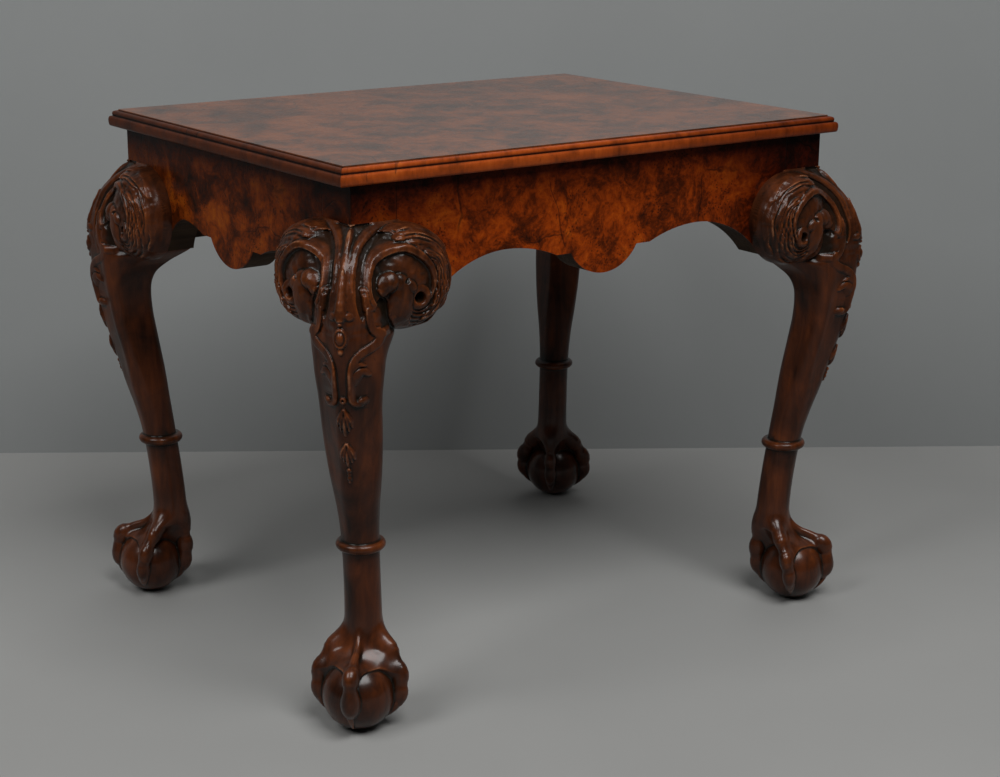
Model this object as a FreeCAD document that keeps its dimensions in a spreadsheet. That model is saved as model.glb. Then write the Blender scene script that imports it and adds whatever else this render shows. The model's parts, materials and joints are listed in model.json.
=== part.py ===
import FreeCAD, Part
import Sketcher
import math
import os
from types import SimpleNamespace

# A low walnut side table: a veneered top with mitred edge mouldings, a shaped veneered frieze and four
# carved cabriole legs on ball and claw feet, set on the diagonals.
# +Z is up, +X runs along the long side, the origin is on the floor under the middle of the top.
# Front is -Y and left is -X. Lengths are in millimetres.

Vector = FreeCAD.Vector

driving_sizes = (
    ("table_height", 536, "floor to the top surface"),
    ("top_length", 610, "long side of the top over its mouldings"),
    ("top_width", 460, "short side of the top over its mouldings"),
    ("top_thickness", 17.5, "height of the moulded edge, veneer included"),
    ("top_veneer", 1.0, "thickness of the veneer on the top"),
    ("end_overhang", 16, "top beyond the frieze on the short sides"),
    ("side_overhang", 10, "top beyond the frieze on the long sides"),
    ("moulding_width", 14, "edge moulding, outer face to its glued back"),
    ("bead_inset", 8.2, "outer face to the edge of the top surface"),
    ("band_height", 10.5, "lower band of the moulding"),
    ("band_round", 1.4, "how far the band's face bellies out"),
    ("quirk_depth", 3.2, "how far the quirk over the band is cut in"),
    ("bead_height", 5.6, "small bead over the quirk"),
    ("rail_thickness", 30, "frieze rail without its veneer"),
    ("facing", 1.5, "burr veneer on the frieze"),
    ("post_width", 48, "frieze corner to the joint between post and rail"),
    ("rail_knee_drop", 121, "depth of a rail where it meets the knee"),
    ("knee_span", 80, "frieze corner to where the arch starts to rise"),
    ("long_arch_drop", 77, "depth of a long rail over its arch"),
    ("long_arch_run", 118, "middle of a long rail to the top of its arch"),
    ("short_arch_drop", 80.5, "depth of a short rail over its arch"),
    ("short_arch_run", 98, "middle of a short rail to the top of its arch"),
    ("step_drop", 90, "depth of the flat steps beside the lobe"),
    ("step_width", 17, "length of each flat step"),
    ("lobe_half", 41, "half the width of the middle lobe"),
    ("lobe_drop", 114, "depth of a rail at the middle of its lobe"),
    ("tenon_length", 25, "rail tenon"),
    ("tenon_thickness", 10, "rail tenon"),
    ("tenon_shoulder", 12, "shoulder over and under the tenon"),
    ("glue_gap", 0.1, "room for glue round a tenon"),
    ("tenon_end_gap", 1.0, "room past the end of a tenon"),
    ("knee_out", 48, "knee beyond the frieze corner, along the diagonal"),
    ("drum_radius", 48.5, "round scroll on each side of the knee"),
    ("drum_drop", 85.5, "top edge of the frieze to the middle of the scroll"),
    ("knee_ledge", 1.5, "top of the scroll to the knee's ledge on the frieze"),
    ("drum_rim", 13, "plain rim of the scroll, out from the frieze"),
    ("drum_depth", 37, "scroll's boss, out from the frieze"),
    ("boss_radius", 13, "boss in the middle of the scroll"),
    ("ankle_out", 18, "half the thickness of the leg at the ankle"),
    ("ankle_back", 30.3, "middle of the ankle behind the frieze corner, along the diagonal"),
    ("ankle_height", 103, "floor to the thinnest part of the leg"),
    ("ring_height", 178, "floor to the middle of the ring collar"),
    ("ring_radius", 18.9, "middle line of the ring collar"),
    ("ring_round", 4.6, "radius of the ring's section"),
    ("ring_back", 22.6, "middle of the ring behind the frieze corner, along the diagonal"),
    ("ball_radius", 34.5, "ball under the claw"),
    ("ball_back", 6, "middle of the ball behind the frieze corner, along the diagonal"),
    ("ball_flat", 0.5, "depth of the flat on which the ball stands"),
    ("talon_radius", 8.5, "talon at its largest knuckle"),
    ("block_reach", 105, "frieze corner to the end of a corner block"),
    ("block_height", 45, "height of a corner block"),
    ("block_drop", 22, "top edge of the frieze to the top of a corner block"),
    ("seat_gap", 0.3, "room between a corner block and the post"),
    ("glue_block_side", 20, "side of a rubbed glue block"),
    ("glue_block_length", 60, "length of a rubbed glue block"),
    ("glue_block_run", 75, "middle of a long rail to the middle of its glue block"),
    ("long_screw_run", 145, "middle of a long rail to its outer pocket screws"),
    ("short_screw_run", 62, "middle of a short rail to its pocket screws"),
    ("screw_shank", 2.0, "radius of a screw's shank"),
    ("screw_head", 4.0, "radius of a screw's head"),
    ("screw_head_height", 2.8, "height of a screw's head"),
    ("screw_length", 46, "screw under its head"),
    ("screw_point", 5, "pointed end of a screw"),
    ("screw_room", 0.1, "room round a screw"),
    ("pocket_radius", 5.5, "pocket for a screw's head"),
    ("pocket_length", 60, "length of a pocket along its screw"),
    ("pocket_drop", 36, "top edge of a rail to the floor of its pocket, along the screw"),
    ("overrun", 5, "how far a cutting shape runs past what it cuts"),
)
pocket_tilt = 14
screw_tip_share = 0.25
half_turn = 180
diagonal = math.sqrt(2)

doc = FreeCAD.newDocument("side_table")
sheet = doc.addObject("Spreadsheet::Sheet", "Sizes")
for row, (name, size, note) in enumerate(driving_sizes, start=1):
    sheet.set(f"A{row}", name)
    sheet.set(f"B{row}", str(size))
    sheet.setAlias(f"B{row}", name)
    sheet.set(f"C{row}", note)
doc.recompute()


class Size:
    """A length and the formula that gives it from the sheet."""

    def __init__(self, value, formula):
        self.value = value
        self.formula = formula

    def join(self, sign, other, value):
        formula = other.formula if isinstance(other, Size) else repr(float(other))
        return Size(value, f"({self.formula} {sign} {formula})")

    def __add__(self, other):
        return self.join("+", other, self.value + number(other))

    def __sub__(self, other):
        return self.join("-", other, self.value - number(other))

    def __mul__(self, other):
        return self.join("*", other, self.value * number(other))

    def __truediv__(self, other):
        return self.join("/", other, self.value / number(other))

    def __neg__(self):
        return self * -1

    __radd__ = __add__
    __rmul__ = __mul__


def number(size):
    return size.value if isinstance(size, Size) else float(size)


zero = Size(0.0, "0.0")
named_sizes = {name: Size(float(sheet.get(name)), "Sizes." + name) for name, size, note in driving_sizes}
s = SimpleNamespace(**named_sizes)

# Places that several pieces share
corner_x = s.top_length / 2 - s.end_overhang
corner_y = s.top_width / 2 - s.side_overhang
frieze_top = s.table_height - s.top_thickness
rail_inner = s.facing + s.rail_thickness
rail_middle = s.facing + s.rail_thickness / 2
long_shoulder = corner_x - s.post_width
short_shoulder = corner_y - s.post_width
rail_foot = frieze_top - s.rail_knee_drop
screw_tip = s.screw_shank * screw_tip_share
drum_middle = frieze_top - s.drum_drop
knee_top = drum_middle + s.drum_radius + s.knee_ledge
ball_middle = s.ball_radius - s.ball_flat


def bind(thing, **sizes):
    """Ties each named property of an object to its formula."""
    for name, size in sizes.items():
        setattr(thing, name, number(size))
        thing.setExpression(name, size.formula)


def place(thing, x, y, z, rotation=None):
    base = Vector(number(x), number(y), number(z))
    thing.Placement = FreeCAD.Placement(base, rotation or FreeCAD.Rotation())
    for axis, size in (("x", x), ("y", y), ("z", z)):
        thing.setExpression(f"Placement.Base.{axis}", size.formula)
    return thing


def add(kind, name, **sizes):
    thing = doc.addObject(kind, name)
    bind(thing, **sizes)
    return thing


def box(name, length, width, height, x, y, z):
    return place(add("Part::Box", name, Length=length, Width=width, Height=height), x, y, z)


def fuse(name, pieces):
    thing = doc.addObject("Part::MultiFuse", name)
    thing.Shapes = pieces
    return thing


def group(name, pieces):
    thing = doc.addObject("Part::Compound", name)
    thing.Links = pieces
    return thing


def cut(name, base, tool):
    thing = doc.addObject("Part::Cut", name)
    thing.Base = base
    thing.Tool = tool
    return thing


def mirrored(name, source, normal):
    thing = doc.addObject("Part::Mirroring", name)
    thing.Source = source
    thing.Normal = normal
    return thing


across_x = Vector(1, 0, 0)
across_y = Vector(0, 1, 0)


def draw(sketch, start, steps):
    """Draws a closed outline from its start: each step is (x, y) for a line to that corner, or
    (x, y, via x, via y) for an arc to it through a point on the way."""
    corners = [start] + [step[:2] for step in steps]
    here = start
    for step in steps:
        first = Vector(number(here[0]), number(here[1]), 0)
        last = Vector(number(step[0]), number(step[1]), 0)
        if len(step) == 2:
            edge = sketch.addGeometry(Part.LineSegment(first, last))
        else:
            via = Vector(number(step[2]), number(step[3]), 0)
            anticlockwise = (via - first).cross(last - via).z > 0
            ends = (first, last) if anticlockwise else (last, first)
            edge = sketch.addGeometry(Part.Arc(ends[0], via, ends[1]))
        here = step[:2]
    tips = [arc_tips(sketch.Geometry[edge], corners[edge]) for edge in range(len(steps))]
    for edge in range(len(steps)):
        after = (edge + 1) % len(steps)
        sketch.addConstraint(Sketcher.Constraint("Coincident", edge, tips[edge][1], after, tips[after][0]))
        pin(sketch, edge, tips[edge][0], corners[edge])
    for edge, step in enumerate(steps):
        if len(step) == 4:
            via = sketch.addGeometry(Part.Point(Vector(number(step[2]), number(step[3]), 0)), True)
            sketch.addConstraint(Sketcher.Constraint("PointOnObject", via, 1, edge))
            pin(sketch, via, 1, step[2:])


def arc_tips(edge, start):
    """The numbers of an edge's first and last points: an arc is kept anticlockwise, so they may swap."""
    near = edge.StartPoint.distanceToPoint(Vector(number(start[0]), number(start[1]), 0))
    far = edge.EndPoint.distanceToPoint(Vector(number(start[0]), number(start[1]), 0))
    return (1, 2) if near < far else (2, 1)


def pin(sketch, edge, tip, corner):
    for kind, size in zip(("DistanceX", "DistanceY"), corner):
        held = sketch.addConstraint(Sketcher.Constraint(kind, edge, tip, number(size)))
        sketch.setExpression(f"Constraints[{held}]", size.formula)


def sketch_in(body, name, plane):
    sketch = body.newObject("Sketcher::SketchObject", name)
    sketch.AttachmentSupport = [(next(p for p in body.Origin.OriginFeatures if p.Role == plane), "")]
    sketch.MapMode = "FlatFace"
    return sketch


def pad(body, name, plane, start, steps, thickness):
    """A pad of an outline, half its thickness to each side of the plane."""
    profile = sketch_in(body, name + "_outline", plane)
    draw(profile, start, steps)
    feature = body.newObject("PartDesign::Pad", name + "_pad")
    feature.Profile = profile
    feature.SideType = "Symmetric"
    bind(feature, Length=thickness)
    return feature


# Edge mouldings: one profile, padded along each side and mitred at its ends

# the height at which each rounded face stands out furthest, as a share of that face
band_belly_share = 0.6
bead_belly_share = 0.7


def moulding_profile(edge):
    """The profile's outline, with the outer face at edge and the glued back towards the middle."""
    def at(inset, height):
        return edge + inset, frieze_top + height
    back = s.moulding_width
    seat = s.top_thickness - s.top_veneer
    bead_top = s.band_height + s.bead_height
    bead_in = s.bead_inset - s.band_round
    steps = (
        at(s.band_round, zero),
        at(s.band_round / 2, s.band_height) + at(zero, s.band_height * band_belly_share),
        at(s.quirk_depth, s.band_height),
        at(bead_in, bead_top) + at(s.quirk_depth, s.band_height + s.bead_height * bead_belly_share),
        at(bead_in, bead_top - s.band_round / 2),
        at(s.bead_inset, bead_top - s.band_round / 2),
        at(s.bead_inset, seat),
        at(back, seat),
        at(back, zero),
    )
    return at(back, zero), steps


def moulding(name, plane, edge, length, other_half):
    body = doc.addObject("PartDesign::Body", name)
    start, steps = moulding_profile(edge)
    pad(body, name, plane, start, steps, length)
    mitres = sketch_in(body, name + "_mitres", "XY_Plane")
    reach = s.moulding_width + s.overrun
    for end in (1, -1):
        tip = other_half * end
        toe = (other_half - reach) * end
        past = (other_half + s.overrun) * end
        triangle = ((edge, tip), (edge + reach, toe), (edge + reach, past), (edge, past))
        if plane == "YZ_Plane":
            triangle = tuple((along, out) for out, along in triangle)
        polygon(mitres, triangle)
    feature = body.newObject("PartDesign::Pocket", name + "_mitre_cut")
    feature.Profile = mitres
    feature.Type = "ThroughAll"
    feature.Midplane = True
    return body


def polygon(sketch, corners):
    """A closed outline of straight edges, added to a sketch that may hold others."""
    first = sketch.GeometryCount
    count = len(corners)
    for index, corner in enumerate(corners):
        after = corners[(index + 1) % count]
        sketch.addGeometry(Part.LineSegment(Vector(number(corner[0]), number(corner[1]), 0),
                                            Vector(number(after[0]), number(after[1]), 0)))
    for index, corner in enumerate(corners):
        edge = first + index
        sketch.addConstraint(Sketcher.Constraint("Coincident", edge, 2, first + (index + 1) % count, 1))
        pin(sketch, edge, 1, corner)


moulding_left = moulding("moulding_left", "XZ_Plane", -s.top_length / 2, s.top_width, s.top_width / 2)
moulding_front = moulding("moulding_front", "YZ_Plane", -s.top_width / 2, s.top_length, s.top_length / 2)
moulding_right = mirrored("moulding_right", moulding_left, across_x)
moulding_back = mirrored("moulding_back", moulding_front, across_y)

# Rails: a lobe in the middle, a flat step on each side of it, then an arch that falls to the knee

# a point on the way from the top of the arch down to the knee, as shares of that run and fall
knee_run_share = 0.71
knee_fall_share = 0.445
# and one half way from the flat step up to the top of the arch, as a share of that rise
step_rise_share = 0.26


def rail_outline(half, arch_drop, arch_run, corner):
    knee = corner - s.knee_span
    step_end = s.lobe_half + s.step_width
    fall_run = knee - arch_run
    fall_drop = s.rail_knee_drop - arch_drop
    rise = s.step_drop - arch_drop

    def side(sign):
        """The lower edge from the end of the rail to the lobe, on one side."""
        def at(run, drop):
            return run * sign, frieze_top - drop
        knee_point = at(knee, s.rail_knee_drop)
        fall_via = at(arch_run + fall_run * knee_run_share, arch_drop + fall_drop * knee_fall_share)
        top_point = at(arch_run, arch_drop)
        rise_via = at((arch_run + step_end) / 2, arch_drop + rise * step_rise_share)
        step_far = at(step_end, s.step_drop)
        step_near = at(s.lobe_half, s.step_drop)
        return knee_point, fall_via, top_point, rise_via, step_far, step_near

    left, right = side(-1), side(1)
    steps = (
        left[0],
        left[2] + left[1],
        left[4] + left[3],
        left[5],
        right[5] + (zero, frieze_top - s.lobe_drop),
        right[4],
        right[2] + right[3],
        right[0] + right[1],
        (half, rail_foot),
        (half, frieze_top),
        (-half, frieze_top),
        (-half, rail_foot),
    )
    return (-half, rail_foot), steps


def rail(name, plane, half, arch_drop, arch_run, corner):
    """A rail with its tenons, about a plane through the middle of its thickness."""
    body = doc.addObject("PartDesign::Body", name + "_blank")
    start, steps = rail_outline(half, arch_drop, arch_run, corner)
    pad(body, name, plane, start, steps, s.rail_thickness)
    low = rail_foot + s.tenon_shoulder
    high = frieze_top - s.tenon_shoulder
    tip = half + s.tenon_length
    root = half - s.tenon_length
    tenons = sketch_in(body, name + "_tenon_outlines", plane)
    for end in (1, -1):
        polygon(tenons, ((root * end, low), (tip * end, low), (tip * end, high), (root * end, high)))
    feature = body.newObject("PartDesign::Pad", name + "_tenons")
    feature.Profile = tenons
    feature.SideType = "Symmetric"
    bind(feature, Length=s.tenon_thickness)
    return body


def rail_facing(name, plane, half, arch_drop, arch_run, corner):
    body = doc.addObject("PartDesign::Body", name)
    start, steps = rail_outline(half, arch_drop, arch_run, corner)
    pad(body, name, plane, start, steps, s.facing)
    return body


long_form = (long_shoulder, s.long_arch_drop, s.long_arch_run, corner_x)
short_form = (short_shoulder, s.short_arch_drop, s.short_arch_run, corner_y)
rail_front_blank = place(rail("rail_front", "XZ_Plane", *long_form), zero, rail_middle - corner_y, zero)
rail_left_blank = place(rail("rail_left", "YZ_Plane", *short_form), rail_middle - corner_x, zero, zero)
facing_front = place(rail_facing("facing_front", "XZ_Plane", *long_form), zero, s.facing / 2 - corner_y, zero)
facing_left = place(rail_facing("facing_left", "YZ_Plane", *short_form), s.facing / 2 - corner_x, zero, zero)

# Pocket screws: each leans out from a pocket in the rail's inner face, up through the rail into the board


def lean(side):
    """The turn that leans a screw's axis outwards over the front rail or the left rail."""
    axis = Vector(1, 0, 0) if side == "front" else Vector(0, -1, 0)
    return FreeCAD.Rotation(axis, pocket_tilt)


def along_screw(side, run, distance):
    """The place on a screw's axis that lies a distance below the rail's top edge, along the axis."""
    inwards = rail_middle + distance * math.sin(math.radians(pocket_tilt))
    down = distance * math.cos(math.radians(pocket_tilt))
    if side == "front":
        return run, inwards - corner_y, frieze_top - down
    return inwards - corner_x, run, frieze_top - down


def rod(name, side, run, low, radius, length):
    """A cylinder on a screw's axis whose lower end lies low below the rail's top edge."""
    thing = add("Part::Cylinder", name, Radius=radius, Height=length)
    return place(thing, *along_screw(side, run, low), lean(side))


def screw(name, side, run):
    seat = s.pocket_drop
    head = rod(name + "_head", side, run, seat + s.screw_head_height, s.screw_head, s.screw_head_height)
    shank = rod(name + "_shank", side, run, seat, s.screw_shank, s.screw_length - s.screw_point)
    point = add("Part::Cone", name + "_point", Radius1=s.screw_shank, Radius2=screw_tip, Height=s.screw_point)
    place(point, *along_screw(side, run, seat - s.screw_length + s.screw_point), lean(side))
    return fuse(name, [head, shank, point])


def screw_way(name, side, run):
    """The pocket and the shank's hole, which runs on into the board."""
    bore = s.screw_shank + s.screw_room
    pocket_low = s.pocket_drop + s.pocket_length
    pocket = rod(name + "_pocket", side, run, pocket_low, s.pocket_radius, s.pocket_length)
    hole = rod(name + "_hole", side, run, s.pocket_drop, bore, s.screw_length + s.screw_room)
    return pocket, hole


front_runs = (("left", -s.long_screw_run), ("middle", zero), ("right", s.long_screw_run))
left_runs = (("front", -s.short_screw_run), ("back", s.short_screw_run))
front_ways = [screw_way(f"front_{spot}", "front", run) for spot, run in front_runs]
left_ways = [screw_way(f"left_{spot}", "left", run) for spot, run in left_runs]
front_screws = group("front_screws", [screw(f"front_{spot}_screw", "front", run) for spot, run in front_runs])
left_screws = group("left_screws", [screw(f"left_{spot}_screw", "left", run) for spot, run in left_runs])
screw_sets = [
    front_screws, mirrored("back_screws", front_screws, across_y),
    left_screws, mirrored("right_screws", left_screws, across_x),
]
top_screws = group("top_screws", screw_sets)
front_cut = fuse("front_rail_ways", [piece for way in front_ways for piece in way])
left_cut = fuse("left_rail_ways", [piece for way in left_ways for piece in way])
rail_front = cut("rail_front", rail_front_blank, front_cut)
rail_left = cut("rail_left", rail_left_blank, left_cut)
rail_back = mirrored("rail_back", rail_front, across_y)
rail_right = mirrored("rail_right", rail_left, across_x)
facing_back = mirrored("facing_back", facing_front, across_y)
facing_right = mirrored("facing_right", facing_left, across_x)

# Board and veneer of the top

core_length = s.top_length - s.moulding_width * 2
core_width = s.top_width - s.moulding_width * 2
core_thickness = s.top_thickness - s.top_veneer
board = box("board", core_length, core_width, core_thickness, -core_length / 2, -core_width / 2, frieze_top)
long_bores = group("long_bores", [hole for pocket, hole in front_ways])
short_bores = group("short_bores", [hole for pocket, hole in left_ways])
bores = fuse("bores", [
    long_bores, mirrored("far_long_bores", long_bores, across_y),
    short_bores, mirrored("far_short_bores", short_bores, across_x),
])
top_core = cut("top_core", board, bores)
veneer_length = s.top_length - s.bead_inset * 2
veneer_width = s.top_width - s.bead_inset * 2
top_veneer = box("top_veneer", veneer_length, veneer_width, s.top_veneer,
                 -veneer_length / 2, -veneer_width / 2, s.table_height - s.top_veneer)

# Legs: the front left one is built, and the others are its mirror images. The cabriole and the knee are
# carved from a square billet, so each section is a square with rounded corners, its diagonal on the
# diagonal of the table. Shares are of the heights and reaches named in the sheet.

# height over the ankle as a share of ankle to drum foot; how far the front and the back stand out from
# the ankle's own, as shares of the knee's reach; and how round the corners are
stem_shares = (
    (1.050, 0.985, -1.310, 0.26),
    (1.005, 0.995, -1.140, 0.32),
    (0.970, 0.993, -0.690, 0.40),
    (0.932, 0.975, -0.402, 0.46),
    (0.880, 0.946, -0.244, 0.52),
    (0.820, 0.884, -0.174, 0.56),
    (0.760, 0.826, -0.139, 0.60),
    (0.700, 0.752, -0.133, 0.64),
    (0.630, 0.640, -0.131, 0.68),
    (0.550, 0.510, -0.135, 0.74),
    (0.480, 0.395, -0.137, 0.80),
    (0.410, 0.265, -0.128, 0.85),
    (0.335, 0.154, -0.114, 0.90),
    (0.260, 0.086, -0.095, 0.93),
    (0.165, 0.033, -0.070, 0.95),
    (0.075, 0.002, -0.037, 0.96),
    (0.000, 0.000, 0.000, 0.96),
)
# height under the ankle as a share of the ankle's height, the front and the back as shares of the ball
foot_shares = (
    (0.135, 0.043, -0.040, 0.96),
    (0.240, 0.301, -0.117, 0.90),
    (0.340, 0.537, -0.075, 0.90),
    (0.440, 0.635, 0.064, 0.90),
)
# height as a share of drum middle to knee top, front as a share of the knee's reach, and how round the
# corners are, as a share of the post's width
knee_shares = (
    (-0.800, 0.990, 0.22),
    (-0.540, 0.975, 0.22),
    (-0.240, 0.923, 0.20),
    (0.060, 0.803, 0.18),
    (0.400, 0.610, 0.15),
    (0.700, 0.330, 0.10),
    (1.000, 0.000, 0.02),
)


def diagonal_section(height, front, back, roundness):
    """A section given by how far its rounded corners reach past the frieze corner and behind it."""
    half = (front - back) / 2 / (diagonal - (diagonal - 1) * roundness)
    middle = (front + back) / 2 / diagonal
    return billet_section(height, middle + half, middle - half, half * roundness)


def knee_section(height, front, roundness):
    """A section whose inner sides are flush with the post, its outer corner reaching out to the front."""
    radius = number(s.post_width) * roundness
    outer = (front + (diagonal - 1) * radius) / diagonal
    return billet_section(height, outer, -number(s.post_width), radius)


def billet_section(height, outer, inner, radius):
    """A square with rounded corners, its sides given outwards from the frieze corner."""
    half = (outer - inner) / 2
    centre_x = -number(corner_x) - (outer + inner) / 2
    centre_y = -number(corner_y) - (outer + inner) / 2
    flat = half - radius
    bulge = flat + radius / diagonal

    def at(along_x, along_y):
        return Vector(centre_x + along_x, centre_y + along_y, height)

    edges = []
    for sign_x, sign_y in ((1, 1), (-1, 1), (-1, -1), (1, -1)):
        if sign_x == sign_y:
            first, last = at(sign_x * half, sign_y * flat), at(sign_x * flat, sign_y * half)
            after = at(-sign_x * flat, sign_y * half)
        else:
            first, last = at(sign_x * flat, sign_y * half), at(sign_x * half, sign_y * flat)
            after = at(sign_x * half, -sign_y * flat)
        edges.append(Part.Arc(first, at(sign_x * bulge, sign_y * bulge), last).toShape())
        edges.append(Part.LineSegment(last, after).toShape())
    return Part.Wire(edges)


def carved(name, sections, ruled=False):
    thing = doc.addObject("Part::Feature", name)
    thing.Shape = Part.makeLoft(sections, True, ruled)
    return thing


drum_foot = number(drum_middle - s.drum_radius)
ankle = number(s.ankle_height)
knee_reach = number(s.knee_out)
ball_reach = number(s.ball_radius)
ankle_front = number(s.ankle_out - s.ankle_back)
ankle_rear = number(-s.ankle_out - s.ankle_back)
foot_sections = []
for share, front, back, roundness in reversed(foot_shares):
    height = ankle * (1 - share)
    foot_sections.append(diagonal_section(height, ankle_front + ball_reach * front,
                                          ankle_rear + ball_reach * back, roundness))
stem_sections = []
for share, front, back, roundness in reversed(stem_shares):
    fade = max(0.0, 1 - share)
    height = ankle + (drum_foot - ankle) * share
    stem_sections.append(diagonal_section(height, ankle_front * fade + knee_reach * front,
                                          ankle_rear * fade + knee_reach * back, roundness))
knee_middle = number(drum_middle)
knee_rise = number(knee_top - drum_middle)
knee_sections = [
    knee_section(knee_middle + knee_rise * share, knee_reach * front, roundness)
    for share, front, roundness in knee_shares
]
stem = carved("stem", foot_sections + stem_sections)
knee = carved("knee", knee_sections)

post_side = s.post_width - s.facing
post = box("post", post_side, post_side, s.rail_knee_drop,
           s.facing - corner_x, s.facing - corner_y, rail_foot)

# Scroll drums: a profile turned about an axis square to the frieze, through the joint of post and rail

# how far out from the axis, as a share of the drum's radius, and how far out from the frieze, as a share
# of its depth (over the plain rim in the first two): the hollow's outer edge, the middle of the rounded
# edge, the foot of the hollow's slope and the middle of that slope
edge_share, edge_depth_share = 0.86, 0.22
round_share, round_depth_share = 0.965, 0.12
slope_share, slope_depth_share = 0.55, 0.86
bend_share, bend_depth_share = 0.72, 0.75
# where the boss starts, as a share of the depth, and its flat, as a share of the boss's radius
boss_depth_share = 0.92
boss_flat_share = 0.7


def drum(name, side, turn):
    """Half a drum on the front or the left face of the front left corner."""
    sketch = doc.addObject("Sketcher::SketchObject", name + "_profile")
    radius = s.drum_radius
    depth = s.drum_depth
    rim = s.drum_rim
    boss = s.boss_radius

    def at(distance, reach):
        return distance, reach

    steps = (
        at(radius, zero),
        at(radius, rim),
        at(radius * edge_share, rim + depth * edge_depth_share)
        + at(radius * round_share, rim + depth * round_depth_share),
        at(radius * slope_share, depth * slope_depth_share)
        + at(radius * bend_share, depth * bend_depth_share),
        at(boss, depth * boss_depth_share),
        at(boss * boss_flat_share, depth),
        at(zero, depth),
        at(zero, zero),
    )
    draw(sketch, at(zero, zero), steps)
    if side == "front":
        rotation = FreeCAD.Rotation(Vector(0, 0, 1), Vector(0, -1, 0), Vector(1, 0, 0), "XYZ")
        place(sketch, s.post_width - corner_x, -corner_y, drum_middle, rotation)
        axis = Vector(0, 1, 0)
        base = (s.post_width - corner_x, -corner_y, drum_middle)
    else:
        rotation = FreeCAD.Rotation(Vector(0, 0, 1), Vector(-1, 0, 0), Vector(0, -1, 0), "XYZ")
        place(sketch, -corner_x, s.post_width - corner_y, drum_middle, rotation)
        axis = Vector(1, 0, 0)
        base = (-corner_x, s.post_width - corner_y, drum_middle)
    turned = doc.addObject("Part::Revolution", name)
    turned.Source = sketch
    turned.Axis = axis
    turned.Angle = turn
    turned.Solid = True
    turned.Base = Vector(*[number(size) for size in base])
    for letter, size in zip("xyz", base):
        turned.setExpression(f"Base.{letter}", size.formula)
    return turned


front_drum = drum("front_drum", "front", -half_turn)
left_drum = drum("left_drum", "left", half_turn)
ear_front_rail_left = drum("ear_front_rail_left", "front", half_turn)
ear_left_rail_front = drum("ear_left_rail_front", "left", -half_turn)

# Ring collar, ball and talons

ring = place(add("Part::Torus", "ring", Radius1=s.ring_radius, Radius2=s.ring_round),
             -corner_x + s.ring_back / diagonal, -corner_y + s.ring_back / diagonal, s.ring_height)
ball = place(add("Part::Sphere", "ball", Radius=s.ball_radius),
             -corner_x + s.ball_back / diagonal, -corner_y + s.ball_back / diagonal, ball_middle)

# each point of a talon: forward along the diagonal, out to the side, height over the ball's middle and
# radius, all as shares of the ball's radius but the last, which is a share of the largest knuckle
front_talon_shares = (
    (-0.26, 0.00, 1.66, 0.80), (0.12, 0.00, 1.10, 0.84), (0.44, 0.00, 1.05, 0.94),
    (0.74, 0.00, 0.92, 0.80), (0.97, 0.00, 0.75, 1.00), (1.12, 0.00, 0.49, 0.84),
    (1.19, 0.00, 0.26, 1.00), (1.17, 0.00, 0.02, 0.74), (1.08, 0.00, -0.22, 0.50),
    (0.93, 0.00, -0.46, 0.18),
)
side_talon_shares = (
    (-0.66, 0.22, 1.58, 0.84), (-0.50, 0.62, 1.22, 0.96), (-0.32, 0.92, 0.92, 0.82),
    (-0.20, 1.10, 0.64, 1.00), (-0.12, 1.15, 0.37, 0.82), (-0.09, 1.15, 0.12, 0.95),
    (-0.06, 1.09, -0.12, 0.66), (-0.04, 1.00, -0.32, 0.46), (-0.03, 0.90, -0.52, 0.18),
)
back_talon_shares = (
    (-0.92, 0.00, 1.70, 0.90), (-1.08, 0.00, 1.22, 0.92), (-1.18, 0.00, 0.84, 0.96),
    (-1.12, 0.00, 0.56, 0.78), (-1.13, 0.00, 0.26, 0.90), (-1.06, 0.00, 0.00, 0.62),
    (-0.97, 0.00, -0.24, 0.44), (-0.86, 0.00, -0.46, 0.18),
)


def talon(name, shares, side):
    """A loft through rings along a talon, each square to the way the talon runs there."""
    radius = number(s.ball_radius)
    forward = Vector(-1 / diagonal, -1 / diagonal, 0)
    sideways = Vector(1 / diagonal, -1 / diagonal, 0)
    middle = Vector(number(-corner_x), number(-corner_y), number(ball_middle)) - forward * number(s.ball_back)
    points = []
    for ahead, out, up, girth in shares:
        beside = sideways * (radius * out * side)
        points.append(middle + forward * (radius * ahead) + beside + Vector(0, 0, radius * up))
    across = sideways if shares[0][1] == 0 else forward
    last = len(points) - 1
    rings = []
    for index, point in enumerate(points):
        way = (points[min(index + 1, last)] - points[max(index - 1, 0)]).normalize()
        rings.append(talon_ring(point, way, across, number(s.talon_radius) * shares[index][3]))
    return carved(name, rings, True)


def talon_ring(middle, way, across, radius):
    """A round section square to way, as two arcs that start on the same side on every ring."""
    right = (across - way * across.dot(way)).normalize() * radius
    over = way.cross(right)
    return Part.Wire([
        Part.Arc(middle + right, middle + over, middle - right).toShape(),
        Part.Arc(middle - right, middle - over, middle + right).toShape(),
    ])


talons = [
    talon("front_talon", front_talon_shares, 1),
    talon("right_talon", side_talon_shares, 1),
    talon("left_talon", side_talon_shares, -1),
    talon("back_talon", back_talon_shares, 1),
]

# What is cut from a leg: two mortises, the hole for the corner block's screw and the flat under the ball

mortise_length = s.tenon_length + s.tenon_end_gap + s.overrun
mortise_thickness = s.tenon_thickness + s.glue_gap * 2
mortise_height = s.rail_knee_drop - s.tenon_shoulder * 2 + s.glue_gap * 2
mortise_foot = rail_foot + s.tenon_shoulder - s.glue_gap
mortise_near = rail_middle - mortise_thickness / 2
mortise_deep = s.post_width - s.tenon_length - s.tenon_end_gap
front_mortise = box("front_mortise", mortise_length, mortise_thickness, mortise_height,
                    mortise_deep - corner_x, mortise_near - corner_y, mortise_foot)
left_mortise = box("left_mortise", mortise_thickness, mortise_length, mortise_height,
                   mortise_near - corner_x, mortise_deep - corner_y, mortise_foot)

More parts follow.
